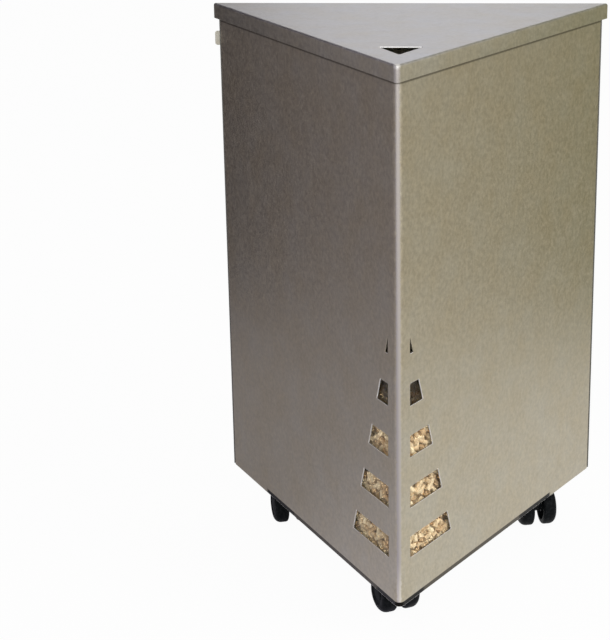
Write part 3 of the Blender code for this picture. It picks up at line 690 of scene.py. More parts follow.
def wall_steel(sheet):
    """The walls' sheet: a painted highlight on the front bend, a painted shadow line below the skirt and
    painted shade along the foot.
    """
    made = SatinSheet("wall_steel")
    tree, height, depth = made.tree, made.height, made.depth
    foot, skirt = SHELL_LOW.z, LID_LOW.z
    highlit_rough, shadow_line_share, shadow_line_tone = 0.36, 0.66, 0.20
    crisp, hood_fade, end_fade = 0.0003, 0.003, 0.004

    # The front bend carries a painted highlight, brighter near the foot as a painted reflection of the
    # floor
    highlit = made.highlight_band_mask(sheet.bend_highlight_band, 0.0)
    low = ranged(tree, height, foot + 0.055, foot + 0.015)
    wear_and_highlight = mixed(tree, low, sheet.bend_highlight, sheet.bend_foot_highlight)
    steel = mixed(tree, highlit, made.speckled(sheet.wall_dark, sheet.wall_light), wear_and_highlight)

    # A painted shadow line lies where the skirt ends
    below = ranged(tree, height, skirt + 0.0006, skirt - 0.0004)
    above = ranged(tree, height, skirt - 0.0042, skirt - 0.0030)
    shadow_line = worked(tree, "MULTIPLY", above, below, shadow_line_share)
    steel = mixed(tree, shadow_line, steel, times(sheet.wall_dark, shadow_line_tone))

    # Painted shade along the foot, black before the casters' hoods
    rise = worked(tree, "SUBTRACT", height, foot + sheet.foot_shade_height)
    ahead = ranged(tree, depth, FOOT_END + end_fade, FOOT_END)
    band = worked(tree, "MULTIPLY", ranged(tree, rise, crisp, -crisp), ahead)
    by_front = ranged(tree, made.aside, HOOD_SIDE + hood_fade, HOOD_SIDE)
    by_rear = ranged(tree, depth, HOOD_BACK - hood_fade, HOOD_BACK)
    hooded = worked(tree, "MAXIMUM", by_front, by_rear)
    steel = mixed(tree, band, steel, mixed(tree, hooded, sheet.foot_shade, sheet.hood_shade))
    return made.finished(steel, between(tree, highlit, made.rough, highlit_rough))


def back_steel(sheet):
    """The sheet of the back and the floor, with painted shade where the back stands out past the walls.
    """
    made = SatinSheet("back_steel")
    tree = made.tree
    outer = ranged(tree, made.aside, PANEL_HIGH.x - 0.008, PANEL_HIGH.x - 0.007)
    inner = ranged(tree, made.depth, BACK_Y - 0.0003, BACK_Y - 0.0006)
    steel = made.speckled(sheet.wall_dark, sheet.wall_light)
    steel = mixed(tree, worked(tree, "MULTIPLY", outer, inner), steel, sheet.panel_end_shade)
    return made.finished(steel, made.rough)


def lid_steel(sheet):
    """The lid's sheet: a paler plate and a skirt like the walls, painted as lit and shaded copies of one
    steel, and a painted highlight on the front corner.
    """
    made = SatinSheet("lid_steel")
    tree, height, top = made.tree, made.height, LID_HIGH.z
    # The skirt and the plate are painted as shaded and lit copies of one steel
    skirt = made.speckled(sheet.skirt_dark, sheet.skirt_light)
    plate = made.speckled(sheet.lid_dark, sheet.lid_light)
    rise = ranged(tree, height, top - LID_BEND, top - LID_BEND / 6)
    # The front corner carries a painted highlight, brightest at the top where it meets the plate
    highlit = made.highlight_band_mask(sheet.corner_wear, LID_LOW.y + 2 * LID_CORNER)
    tip = ranged(tree, height, top - 2 * LID_BEND, top - LID_BEND)
    wear_and_highlight = mixed(tree, tip, sheet.lid_corner_highlight, sheet.lid_tip_highlight)
    steel = mixed(tree, highlit, mixed(tree, rise, skirt, plate), wear_and_highlight)
    highlit_rough, highlit_metal = 0.50, 0.55
    rough, metal = between(tree, highlit, made.rough, highlit_rough), between(tree, highlit, 1.0, highlit_metal)
    return made.finished(steel, rough, metal)


def cut_steel(name, bare, metallic, smoothest):
    """The bare edge of a cut sheet, with fine lines across it."""
    made = Finish(name)
    streaks = made.group("fine_streaks", Stretch=(1.0, 1.0, 0.2), Scale=900.0)["Streaks"]
    made.set(
        Base_Color=mixed(made.tree, streaks, times(bare, 0.90), bare),
        Roughness=between(made.tree, streaks, smoothest, smoothest + 0.12),
        Metallic=metallic,
    )
    return made.bumped(streaks, 0.08, 0.0002)


def zinc_steel(zinc):
    """Zinc plate, with a faint spangle and rubbed marks."""
    made = Finish("zinc_steel")
    tree = made.tree
    grain = made.grain(900.0, 60.0)
    spangle = output(tree, "ShaderNodeTexVoronoi", {"Vector": made.place, "Scale": 420.0})
    made.set(
        Base_Color=mixed(tree, worked(tree, "MULTIPLY", spangle, 0.8), zinc, times(zinc, 0.70)),
        Roughness=between(tree, grain["Marks"], 0.30, 0.46),
        Metallic=1.0,
    )
    return made.bumped(grain["Grain"], 0.06)


def moulded(name, scales, colours, patches, wear_and_highlight, rough, bump, **plain):
    """Moulded plastic: a fine spark texture, patches of a second colour and rubbed places."""
    made = Finish(name)
    grain = made.grain(*scales)
    mask, *shares = patches
    made.set(
        Base_Color=mixed(made.tree, worked(made.tree, "MULTIPLY", grain[mask], *shares), *colours),
        Roughness=between(made.tree, grain[wear_and_highlight], *rough),
        **plain,
    )
    return made.bumped(grain["Grain"], bump)


def black_nylon(name, scales, colours, patches, rough, bump):
    """The casters' dull black nylon."""
    return moulded(name, scales, colours, patches, "Mottle", rough, bump, Specular_IOR_Level=0.035)


def pale_plastic(hook):
    """The hook's plastic, a little yellowed."""
    aged = (hook[0] * 0.92, hook[1] * 0.88, hook[2] * 0.78)
    rough = (0.42, 0.55)
    return moulded("pale_plastic", (1300.0, 70.0), (hook, aged), ["Mottle"], "Marks", rough, 0.10)


def pellet_wood(name, pale, brown):
    """Pressed wood: each pellet has its own tone, with mottling and darker flecks."""
    made = Finish(name)
    tree = made.tree
    grain = made.grain(1400.0, 260.0)
    tone = add_node(tree, "ShaderNodeAttribute", attribute_name="pellet_tone").outputs["Fac"]
    mottle = worked(tree, "MULTIPLY", grain["Mottle"], 0.26)
    share = worked(tree, "ADD", worked(tree, "MULTIPLY", tone, 0.68), mottle)
    fleck = worked(tree, "MULTIPLY", grain["Marks"], 0.45)
    made.set(
        Base_Color=mixed(tree, fleck, mixed(tree, share, pale, brown), times(brown, 0.45)),
        Roughness=between(tree, grain["Grain"], 0.62, 0.85),
    )
    return made.bumped(grain["Grain"], 0.45, 0.0006)


def clear_acrylic():
    """Clear acrylic with a film of dust, which lamps shine through."""
    made = Finish("clear_acrylic")
    tree = made.tree
    made.set(
        Base_Color=(0.97, 0.98, 0.97, 1.0),
        Roughness=between(tree, made.grain(300.0, 40.0)["Marks"], 0.02, 0.10),
        IOR=1.08,
        Specular_IOR_Level=0.02,
        Transmission_Weight=1.0,
    )
    clear = output(tree, "ShaderNodeBsdfTransparent", {"Color": (0.94, 0.95, 0.94, 1.0)})
    return made.shown(add_node(tree, "ShaderNodeLightPath").outputs["Is Shadow Ray"], clear)


# Geometry nodes


def end_tree(tree, geometry, given, result):
    """Ends a tree: instances made real, in the material that the tree is given."""
    real = output(tree, "GeometryNodeRealizeInstances", {0: geometry})
    inputs = {"Geometry": real, "Material": given["Material"]}
    tree.links.new(output(tree, "GeometryNodeSetMaterial", inputs), result["Geometry"])
    return tree


def make_pellet_tree():
    """Strews pellets over a surface in two layers, lying any way round and leaning a little."""
    sizes = dict.fromkeys(("Spacing", "Radius", "Shortest", "Longest", "Tilt", "Layer Depth"), "Float")
    tree, given, result = new_group(
        "strewn_pellets",
        "GeometryNodeTree",
        {"Geometry": "Geometry", **sizes, "Seed": "Int", "Material": "Material"},
        {"Geometry": "Geometry"},
    )

    def seed(draw):
        return worked(tree, "ADD", given["Seed"], float(draw))

    def drawn(low, high, draw):
        """A random value for each pellet, from a draw of its own."""
        inputs = {2: low, 3: high, "Seed": seed(draw)}
        return add_node(tree, "FunctionNodeRandomValue", inputs).outputs[1]

    inputs = {"Vertices": PELLET_SIDES, "Radius": given["Radius"], "Depth": 1.0}
    rod = output(tree, "GeometryNodeMeshCylinder", inputs, fill_type="NGON")
    inputs = {"Geometry": rod, "Rotation": (0.0, math.pi / 2, 0.0)}
    lying = output(tree, "GeometryNodeTransform", inputs)
    layers = add_node(tree, "GeometryNodeJoinGeometry")
    for layer in range(PELLET_LAYERS):
        draw = LAYER_DRAWS * layer
        inputs = {"Mesh": given["Geometry"], "Distance Min": given["Spacing"], "Seed": seed(draw)}
        inputs["Density Max"] = PELLET_DENSITY
        kind = "GeometryNodeDistributePointsOnFaces"
        strewn = add_node(tree, kind, inputs, distribute_method="POISSON").outputs
        span = drawn(given["Shortest"], given["Longest"], draw + 1)
        tilt = drawn(worked(tree, "MULTIPLY", given["Tilt"], -1.0), given["Tilt"], draw + 2)
        spin = drawn(0.0, 2 * math.pi, draw + 3)
        tone = drawn(0.0, 1.0, draw + 4)
        depth = drawn(float(layer), layer + 0.3, draw + 5)
        # A leaning pellet lies deeper, so that its upper end stays under the surface
        lean = worked(tree, "ABSOLUTE", worked(tree, "SINE", tilt, 0.0), 0.0)
        reach = worked(tree, "MULTIPLY", span, 0.5, lean)
        sunk = worked(tree, "ADD", worked(tree, "MULTIPLY", depth, given["Layer Depth"]), reach)
        inputs = {0: strewn["Normal"], "Scale": worked(tree, "MULTIPLY", sunk, -1.0)}
        sink = output(tree, "ShaderNodeVectorMath", inputs, operation="SCALE")
        inputs = {"Geometry": strewn["Points"], "Offset": sink}
        settled = output(tree, "GeometryNodeSetPosition", inputs)
        inputs = {"Geometry": settled, "Name": "pellet_tone", "Value": tone}
        toned = output(tree, "GeometryNodeStoreNamedAttribute", inputs)
        angles = output(tree, "ShaderNodeCombineXYZ", {0: 0.0, 1: tilt, 2: spin})
        leaning = output(tree, "FunctionNodeEulerToRotation", {0: angles})
        inputs = {"Rotation": strewn["Rotation"], "Rotate By": leaning}
        turn = output(tree, "FunctionNodeRotateRotation", inputs, rotation_space="LOCAL")
        scale = output(tree, "ShaderNodeCombineXYZ", {0: span, 1: 1.0, 2: 1.0})
        inputs = {"Points": toned, "Instance": lying, "Rotation": turn, "Scale": scale}
        tree.links.new(output(tree, "GeometryNodeInstanceOnPoints", inputs), layers.inputs[0])
    return end_tree(tree, layers.outputs[0], given, result)


def make_rivet_tree():
    """Sets a rivet on each point of a mesh, with its head facing a given way."""
    tree, given, result = new_group(
        "set_rivets",
        "GeometryNodeTree",
        {"Geometry": "Geometry", "Rivet": "Object", "Facing": "Vector", "Material": "Material"},
        {"Geometry": "Geometry"},
    )
    rivet = add_node(tree, "GeometryNodeObjectInfo", {"Object": given["Rivet"]}).outputs["Geometry"]
    inputs = {"Vector": given["Facing"]}
    facing = output(tree, "FunctionNodeAlignRotationToVector", inputs, axis="Z")
    inputs = {"Points": given["Geometry"], "Instance": rivet, "Rotation": facing}
    return end_tree(tree, output(tree, "GeometryNodeInstanceOnPoints", inputs), given, result)


def grown(mesh, tree, **values):
    """The plain mesh that a geometry node tree makes of a mesh, with its inputs by name."""
    piece = placed("work", mesh)
    modifier = piece.modifiers.new(tree.name, "NODES")
    modifier.node_group = tree
    for socket in tree.interface.items_tree:
        name = socket.name.replace(" ", "_")
        if socket.in_out == "INPUT" and name in values:
            modifier[socket.identifier] = values[name]
    return evaluated_mesh(piece)


# Operators


class PelletBinOperator:
    """What the operators share: each can be undone."""

    bl_options = {"REGISTER", "UNDO"}


class PELLETBIN_OT_finishes(PelletBinOperator, bpy.types.Operator):
    """Make the materials and the node groups they share"""

    bl_idname = "pellet_bin.finishes"
    bl_label = "Finishes"

    def execute(self, context):
        scene = context.scene
        sheet, pellets = scene.pellet_bin_sheet, scene.pellet_bin_pellets
        nylon, zinc = scene.pellet_bin_fittings.nylon, scene.pellet_bin_fittings.zinc
        wear_and_highlight = (nylon, times(nylon, 2.2))
        dust_and_shade = (nylon, [0.012 + part for part in times(nylon, 2.0)])
        dust = ["Marks", 0.55]
        make_grain_group()
        make_streak_group()
        make_highlight_band_group()
        FINISHES.update(
            wall=wall_steel(sheet),
            back=back_steel(sheet),
            lid=lid_steel(sheet),
            cut=cut_steel("cut_steel", sheet.cut_steel, 0.15, 0.45),
            lip=cut_steel("rubbed_lip", sheet.rubbed_lip, 1.0, 0.22),
            zinc=zinc_steel(zinc),
            nylon=black_nylon("black_nylon", (1500.0, 45.0), wear_and_highlight, ["Marks"], (0.34, 0.46), 0.12),
            tread=black_nylon("black_tread", (1100.0, 110.0), dust_and_shade, dust, (0.36, 0.55), 0.16),
            hook=pale_plastic(scene.pellet_bin_fittings.hook),
            pellets=pellet_wood("pellet_wood", pellets.pale, pellets.brown),
            # The heap's top: the pellets' wood, darker as painted shade
            heap=pellet_wood("dusty_pellets", pellets.dust_and_shade, pellets.brown),
            pane=clear_acrylic(),
        )
        return {"FINISHED"}


def window_outlines(sheet, path):
    """The windows in the flat sheet, before it is folded along the path."""
    top = sheet.window_base + sheet.window_rise
    pitch = (sheet.window_rise - sheet.window_tip) / max(sheet.window_count - 1, 1)
    middle = path.length / 2
    start, end = next(bend for bend in path.bends() if bend[0] < middle < bend[1])
    trim = FRONT_BEND * ROOT3  # from the sharp corner to where the bend starts
    inner = sheet.window_inset
    outlines = []
    for edge, way in ((start, -1), (end, 1)):
        for i in range(sheet.window_count):
            low = sheet.window_base + i * pitch
            high = min(low + sheet.window_height, top)
            wide, narrow = (
                inner + sheet.window_foot * (top - level) / sheet.window_rise for level in (low, high)
            )
            outline = [(inner, low), (wide, low), (narrow, high)]
            if high < top:
                outline.append((inner, high))
            along = [(edge + way * (distance - trim), level) for distance, level in outline]
            outlines.append(rounded(along, sheet.window_corner, WINDOW_STEPS))
    return outlines


def mark_edges(mesh, top):
    """Gives the upright cut edges of a flat sheet the second material, up to a height."""

    def mark(body):
        for face in body.faces:
            upright = max(abs(face.normal.z), abs(face.normal.y)) < ALONG_SHEET
            face.material_index = int(upright and face.calc_center_median().y < top)

    return edited(mesh, mark)


class PELLETBIN_OT_walls(PelletBinOperator, bpy.types.Operator):
    """Fold the walls from one sheet, add the back, and give the floor its finish"""

    bl_idname = "pellet_bin.walls"
    bl_label = "Walls"

    def execute(self, context):
        sheet = context.scene.pellet_bin_sheet
        left, front, right = corners(-SHEET / 2, -(SHEET + GAP + SHEET / 2))
        ends = [(left[0] + REAR_FLANGE, left[1]), (right[0] - REAR_FLANGE, right[1])]
        rear, nose = REAR_BEND - SHEET / 2, FRONT_BEND - SHEET / 2
        path = BentPath([ends[0], left, front, right, ends[1]], [0, rear, nose, rear, 0])
        loops = [box_outline((0, 0), (path.length, WALL_HEIGHT)), *window_outlines(sheet, path)]
        slit = sheet.window_base + sheet.window_rise - sheet.window_tip
        walls = fold(mark_edges(flat_sheet(loops, SHEET, sheet.edge), slit), path, SHELL_LOW.z)
        finishes = ["wall", "cut"]
        add_piece("walls_folded", walls, "bin", finishes, ["front_shell"], SHEET_SHARP)

        loops = [box_outline((PANEL_LOW.x, PANEL_LOW.z), (PANEL_HIGH.x, PANEL_HIGH.z))]
        back = flat_sheet(loops, SHEET, sheet.edge)
        back.transform(Matrix.Translation((0, BACK_Y - SHEET / 2, 0)) @ FACE_BACK)
        add_piece("back_sheet", back, "bin", ["back"], ["back_panel"], SHEET_SHARP)
        finish_node("floor_pan", "back")
        return {"FINISHED"}


class PELLETBIN_OT_lid(PelletBinOperator, bpy.types.Operator):
    """Form the lid, with its skirt and its finger hole"""

    bl_idname = "pellet_bin.lid"
    bl_label = "Lid"

    def execute(self, context):
        sheet = context.scene.pellet_bin_sheet
        edge, lip = sheet.edge, sheet.hole_lip
        top, under = LID_HIGH.z, LID_HIGH.z - LID_SHEET
        front = LID_LOW.y - LID_CORNER
        apex = front + sheet.hole_setback
        hole_back = apex + sheet.hole_depth
        spread = math.atan2(sheet.hole_width / 2, sheet.hole_depth)

        def ring(inset, height):
            """The lid's outline, moved in, at a height."""
            points = corners_between(front + 2 * inset, LID_HIGH.y - inset)
            plan = rounded(points, max(LID_CORNER - inset, GAP), CORNER_STEPS)
            return [(x, y, height) for x, y in plan]

        def hole(growth, height):
            """The finger hole's outline, moved out, at a height."""
            point, rear = apex - growth / math.sin(spread), hole_back + growth
            half = (rear - point) * math.tan(spread)
            points = [(-half, rear), (0.0, point), (half, rear)]
            plan = rounded(points, sheet.hole_corner + growth, CORNER_STEPS)
            return [(x, y, height) for x, y in plan]

        def rolled(inset, level, radius, start, end, steps):
            """The lid's outline, swept round an edge's arc, whose middle is at an inset and a level."""
            return [ring(inset - x, level + z) for x, z in arc((0, 0), radius, start, end, steps)]

        inner = LID_BEND - LID_SHEET
        rings = [hole(0.0, under + edge)]
        rings += [hole(lip + x, top - lip + z) for x, z in arc((0, 0), lip, 180, 90, 4)]
        rings += [hole(lip + HOLD, top), ring(LID_BEND + HOLD, top)]
        rings += rolled(LID_BEND, top - LID_BEND, LID_BEND, 90, 0, 6)
        rings += [ring(0.0, top - LID_BEND - HOLD)]
        rings += rolled(edge, LID_LOW.z + edge, edge, 0, -90, 2)
        rings += rolled(LID_SHEET - edge, LID_LOW.z + edge, edge, -90, -180, 2)
        rings += rolled(LID_BEND, under - inner, inner, 0, 90, 4)
        rings += [ring(LID_BEND + HOLD, under), hole(edge + HOLD, under)]
        rings += [hole(edge + x, under + edge + z) for x, z in arc((0, 0), edge, -90, -150, 2)]

        # The back skirt ends at the pins, and the side skirts keep their corners
        reach = LID_CLEARANCE + LID_SHEET + HOLD
        half, near = (SIDE + LID_CLEARANCE) / 2, BACK_Y + LID_CLEARANCE / 2
        tall, middle = PIN_Z - LID_LOW.z + HOLD, (PIN_Z + LID_LOW.z - HOLD) / 2
        relief = flat_sheet([box_outline((-half, near), (half, near + reach))], tall, GAP)
        lid = joined(loft(rings), ("DIFFERENCE", relief, Matrix.Translation((0, 0, middle))))

        def mark(body):
            """Gives the hole's cut edge the second material, and its lip the third."""
            for face in body.faces:
                centre = face.calc_center_median()
                inside = hole_back + lip > centre.y > apex - 3 * lip and abs(centre.x) < sheet.hole_width
                cut = inside and abs(face.normal.z) < ALONG_SHEET
                face.material_index = int(cut) + int(cut and face.normal.z > 0.1)

        finishes = ["lid", "cut", "lip"]
        add_piece("lid_folded", edited(lid, mark), "lid", finishes, ["lid_cover"])
        return {"FINISHED"}


class PELLETBIN_OT_panes(PelletBinOperator, bpy.types.Operator):
    """Finish the clear panes behind the windows"""

    bl_idname = "pellet_bin.panes"
    bl_label = "Panes"

    def execute(self, context):
        for side in ("left", "right"):
            finish_node(f"window_pane_{side}", "pane")
        return {"FINISHED"}


class PELLETBIN_OT_pellets(PelletBinOperator, bpy.types.Operator):
    """Fill the bin with wood pellets"""

    bl_idname = "pellet_bin.pellets"
    bl_label = "Pellets"

    layer = 1.7  # depth of a layer, in radii of a pellet
    core_inset, core_drop = 3, 2.4  # how far in and down the middle of the heap lies, in layers
    top_tilt, face_tilt = 0.5, 0.55  # how far pellets lean, in radians
    ripple, ripple_cuts = 0.004, 15  # how far the top of the heap rises and falls, and its mesh
    margin = 0.008  # how far the pellets reach past the windows
    fall = 0.010  # how far the heap drops from the front corner to the end of the windows
    crest = 0.022  # how much higher it is in that corner, on the right

    def execute(self, context):
        pellets = context.scene.pellet_bin_pellets
        tree = make_pellet_tree()
        depth = self.layer * pellets.radius
        values = {
            "Spacing": pellets.spacing,
            "Radius": pellets.radius,
            "Shortest": pellets.shortest,
            "Longest": pellets.longest,
            "Layer_Depth": depth,
            "Seed": pellets.seed,
        }
        behind = (FILL_LOW.y - FRONT_Y) / 2  # from a wall's outer face to the heap's face
        top = self.heap_top(behind + pellets.longest / 2)
        heap = grown(top, tree, Tilt=self.top_tilt, Material=FINISHES["heap"], **values)
        level = FILL_HIGH.z - SLUMP - self.core_drop * depth
        core = self.core(behind + self.core_inset * depth, level)
        edited(heap, lambda body: body.from_mesh(core))
        add_piece("pellet_heap", heap, "bin", ["heap"], ["pellet_fill"])
        for side, name in ((-1, "left"), (1, "right")):
            face = self.window_face(context.scene.pellet_bin_sheet, side, behind + pellets.radius - GAP)
            shown = grown(face, tree, Tilt=self.face_tilt, Material=FINISHES["pellets"], **values)
            add_piece(f"pellet_face_{name}", shown, "bin", ["pellets"])
        return {"FINISHED"}

    def heap_top(self, inset):
        """The uneven top of the heap, a little inside the walls."""

        def rise(body):
            points = [(x, y, FILL_HIGH.z - SLUMP) for x, y in corners(-inset, -inset)]
            body.faces.new([body.verts.new(point) for point in points])
            cuts = self.ripple_cuts
            bmesh.ops.subdivide_edges(body, edges=body.edges[:], cuts=cuts, use_grid_fill=True)
            bmesh.ops.triangulate(body, faces=body.faces[:])
            for vertex in body.verts:
                x, y = vertex.co.x, vertex.co.y
                wave = math.sin(31 * x + 2) * math.cos(27 * y) - 1
                vertex.co.z += self.ripple * wave - 2 * self.ripple * x

        return drafted(rise)

    def core(self, inset, top):
        """The middle of the heap, which shows only as the dark between pellets."""
        height = top - FILL_LOW.z
        left, front, right = corners(-inset, -inset)
        nose = (front[0], front[1] - CORE_NOSE)
        core = flat_sheet([[left, nose, right]], height, GAP)
        core.transform(Matrix.Translation((0, 0, FILL_LOW.z + height / 2)))
        return core

    def window_face(self, sheet, side, inset):
        """The part of the heap's face that the windows of one wall show."""
        along = Vector((side * 0.5, ROOT3 / 2, 0.0))
        outward = Vector((side * ROOT3 / 2, -0.5, 0.0))
        corner = Vector((0.0, FRONT_Y, SHELL_LOW.z)) - outward * inset
        inner, margin = sheet.window_inset, self.margin
        near, bank, far = inner - margin / 2, inner + margin / 2, inner + sheet.window_foot + margin
        low, high = sheet.window_base - margin, FILL_HIGH.z - SLUMP - SHELL_LOW.z
        crest = self.crest if side > 0 else 0.0
        spots = [(near, low), (far, low), (far, high - self.fall), (bank, high - margin / 4)]
        spots.append((near, high + crest))

        def stand(body):
            points = [corner + along * x + Vector((0, 0, z)) for x, z in spots]
            face = body.faces.new([body.verts.new(point) for point in points])
            face.normal_update()
            if face.normal.dot(outward) < 0:
                face.normal_flip()

        return drafted(stand)


class PELLETBIN_OT_hook(PelletBinOperator, bpy.types.Operator):
    """Mould the hook"""

    bl_idname = "pellet_bin.hook"
    bl_label = "Hook"

    def execute(self, context):
        thickness = HOOK_HIGH.y - HOOK_LOW.y
        outline = box_outline((HOOK_LOW.x, HOOK_LOW.z), (HOOK_HIGH.x, HOOK_HIGH.z))
        loop = rounded(outline, context.scene.pellet_bin_fittings.hook_corner, CORNER_STEPS)
        hook = flat_sheet([loop], thickness, thickness / 4, 3)
        hook.transform(Matrix.Translation((0, (HOOK_LOW.y + HOOK_HIGH.y) / 2, 0)) @ FACE_BACK)
        add_piece("hook_moulded", hook, "bin", ["hook"], ["scoop_hook"])
        return {"FINISHED"}


class PELLETBIN_OT_hinges(PelletBinOperator, bpy.types.Operator):
    """Round the edges of the hinges' leaves and pins"""

    bl_idname = "pellet_bin.hinges"
    bl_label = "Hinges"

    def execute(self, context):
        for side in ("left", "right"):
            for part, body in (("lid_leaf", "lid"), ("body_leaf", "bin"), ("pin", "bin")):
                add_plated(f"hinge_{side}_{part}", body)
        return {"FINISHED"}


class PELLETBIN_OT_rivets(PelletBinOperator, bpy.types.Operator):
    """Set the blind rivets of the hinges, the hook and the casters"""

    bl_idname = "pellet_bin.rivets"
    bl_label = "Rivets"

    def execute(self, context):
        tree = make_rivet_tree()
        back, down = Vector((0, 1, 0)), Vector((0, 0, -1))
        sides = ("left", "right")
        groups = (
            ("hook", "bin", back, [f"scoop_hook_rivet_{i}" for i in (1, 2)]),
            ("hinge_body", "bin", back, [f"hinge_{s}_body_rivet_{i}" for s in sides for i in (1, 2)]),
            ("hinge_lid", "lid", back, [f"hinge_{s}_lid_rivet_{i}" for s in sides for i in (1, 2)]),
            ("caster", "bin", down, [f"caster_{c}_rivet_{i}" for c in CASTERS for i in range(1, 5)]),
        )
        for name, body, facing, nodes in groups:
            boxes = [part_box(node) for node in nodes]
            low, high = boxes[0]
            depth = abs((high - low).dot(facing))
            head = (high.x - low.x) / 2
            tops = [(low + high) / 2 + facing * (depth / 2 - GAP) for low, high in boxes]
            points = bpy.data.meshes.new("rivet_points")
            points.from_pydata(tops, [], [])
            rivet = placed("work", turned(self.profile(head, depth - GAP), RIVET_STEPS))
            mesh = grown(points, tree, Rivet=rivet, Facing=facing, Material=FINISHES["zinc"])
            bpy.data.objects.remove(rivet)
            add_piece(f"rivets_{name}", mesh, body, ["zinc"], nodes)
        return {"FINISHED"}

    def profile(self, head, depth):
        """A blind rivet from the middle of its head down: dome, broken stem, shank and bulb."""
        shank, stem, dome, bulb = 0.48 * head, 0.24 * head, 0.40 * head, 0.72 * head
        sunk, proud, seat = -0.16 * head, -0.02 * head, -dome - 0.06 * head
        angles = [math.radians(degrees) for degrees in (74, 60, 45, 30, 15, 0)]
        return [
            (0.0, sunk),
            (stem, sunk),
            (stem, proud),
            *((head * math.cos(a), -dome + dome * math.sin(a)) for a in angles),
            (0.92 * head, seat),
            (shank, seat),
            (shank, -depth + 0.55 * bulb),
            (bulb, -depth + 0.40 * bulb),
            (bulb, -depth + 0.22 * bulb),
            (shank, -depth),
            (0.0, -depth),
        ]


def caster_frame(name):
    """A caster's frame on the floor below its swivel: X along the axle, Y the way it trails."""
    swivel = Vector(JOINTS[f"{name}_swivel"]["pos_m"])
    roll = JOINTS[f"{name}_roll_right"]
    across = Vector(roll["axis"]).normalized()
    up = Vector((0, 0, 1))
    matrix = Matrix((across, up.cross(across), up)).transposed().to_4x4()
    matrix.translation = (swivel.x, swivel.y, 0.0)
    axle = matrix.inverted() @ Vector(roll["pos_m"])
    return matrix, axle


class PELLETBIN_OT_casters(PelletBinOperator, bpy.types.Operator):
    """Mould the casters' hoods and wheels, and plate their metal"""

    bl_idname = "pellet_bin.casters"
    bl_label = "Casters"

    wheel_width = 0.018
    web = 0.0112  # between the wheels
    side_gap = 0.0005
    bore = 0.0033
    boss = 0.0065  # round the axle
    socket = 0.0038  # for the kingpin
    barrel_length = 0.0256
    hood_gap = 0.0015
    hood_wall = 0.0022
    hood_inset = 0.006  # from a wheel's outer face in to the side of the hood
    hood_front, hood_rear = 158, 40  # its ends round the axle, in degrees

    def execute(self, context):
        fittings = context.scene.pellet_bin_fittings
        for name in CASTERS:
            matrix, axle = caster_frame(name)
            node, body = f"caster_{name}", f"{name}_caster"
            hood = self.hood(fittings.hood_round, axle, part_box(f"{node}_hood")[1].z)
            hood.transform(matrix)
            add_piece(f"{node}_hood_moulded", hood, body, ["nylon"], [f"{node}_hood"])
            for side, way in (("left", -1), ("right", 1)):
                wheel = turned(self.wheel_profile(fittings.tread_round, axle.z), WHEEL_STEPS)
                turn = Matrix.Rotation(way * math.pi / 2, 4, "Y")
                shift = Matrix.Translation(axle + Vector((way * (self.web / 2 + self.side_gap), 0, 0)))
                wheel.transform(matrix @ shift @ turn)
                part, rolling = f"{node}_wheel_{side}", f"{name}_wheel_{side}"
                add_piece(f"{part}_moulded", wheel, rolling, ["tread"], [part])
            for part, carrier in (("plate", "bin"), ("kingpin", "bin"), ("axle", body)):
                add_plated(f"{node}_{part}", carrier)
        return {"FINISHED"}

    def wheel_profile(self, shoulder, radius):
        """A wheel from the middle of its outer face, round its tread, to its blind bore."""
        width = self.wheel_width
        rim, recess, hub, face = 0.006, 0.006, 0.0075, 0.006
        cap, dish, step, heel = 0.0090, 0.0012, 0.0005, 0.003
        centre = (radius - shoulder, width - shoulder)
        lip = radius - shoulder - 0.0012
        return [
            (0.0, width - 0.35 * dish),
            (0.6 * cap, width - 0.42 * dish),
            (cap - step, width - 0.62 * dish),
            (cap, width - 0.62 * dish - step / 2),
            (cap + step / 2, width - dish - step / 2),
            (cap + 2 * step, width - dish - step / 2),
            (cap + 3 * step, width - dish),
            (lip - 4 * step, width - 0.80 * dish),
            (lip - step, width - 0.45 * dish),
            *arc(centre, shoulder, 100, 0, 10),
            *arc((radius - heel, heel), heel, 0, -90, 6),
            (radius - rim, 0.0),
            (radius - rim - step / 2, recess),
            (hub + step / 2, recess),
            (hub, 0.0),
            (self.bore, 0.0),
            (self.bore, width - face),
            (0.0, width - face),
        ]

    def hood(self, edge, axle, top):
        """The moulded body: a hood over the wheels, a web between them and the kingpin's barrel."""
        front, rear, wall = self.hood_front, self.hood_rear, self.hood_wall
        inner, middle = axle.z + self.hood_gap, (axle.y, axle.z)
        width = 2 * (self.web / 2 + self.side_gap + self.wheel_width - self.hood_inset)
        band = arc(middle, inner + wall, rear, front, HOOD_STEPS)
        band += arc(middle, inner, front, rear, HOOD_STEPS)
        shell = flat_sheet([band], width, edge, 2)
        shell.transform(FACE_SIDE)
        barrel, bottom, chamfer = self.web / 2 - 0.0002, top - self.barrel_length, 0.0008
        web = arc(middle, inner + wall / 2, rear, front, HOOD_STEPS)
        web += [(chamfer - barrel, bottom + chamfer), *arc(middle, self.boss, 180, 360, 24)]
        stem = [(0, top), (barrel - GAP, top), (barrel, top - GAP), (barrel, bottom), (0, bottom)]

        def drill(radius, start, end):
            return turned([(0, start), (radius, start), (radius, end), (0, end)], BORE_STEPS)

        across = Matrix.Translation((0, axle.y, axle.z)) @ Matrix.Rotation(math.pi / 2, 4, "Y")
        return joined(
            shell,
            ("UNION", flat_sheet([web], self.web, edge / 2), FACE_SIDE),
            ("UNION", turned(stem, BORE_STEPS), Matrix()),
            ("DIFFERENCE", drill(self.socket, top + edge, bottom + edge), Matrix()),
            ("DIFFERENCE", drill(self.bore, width, -width), across),
        )


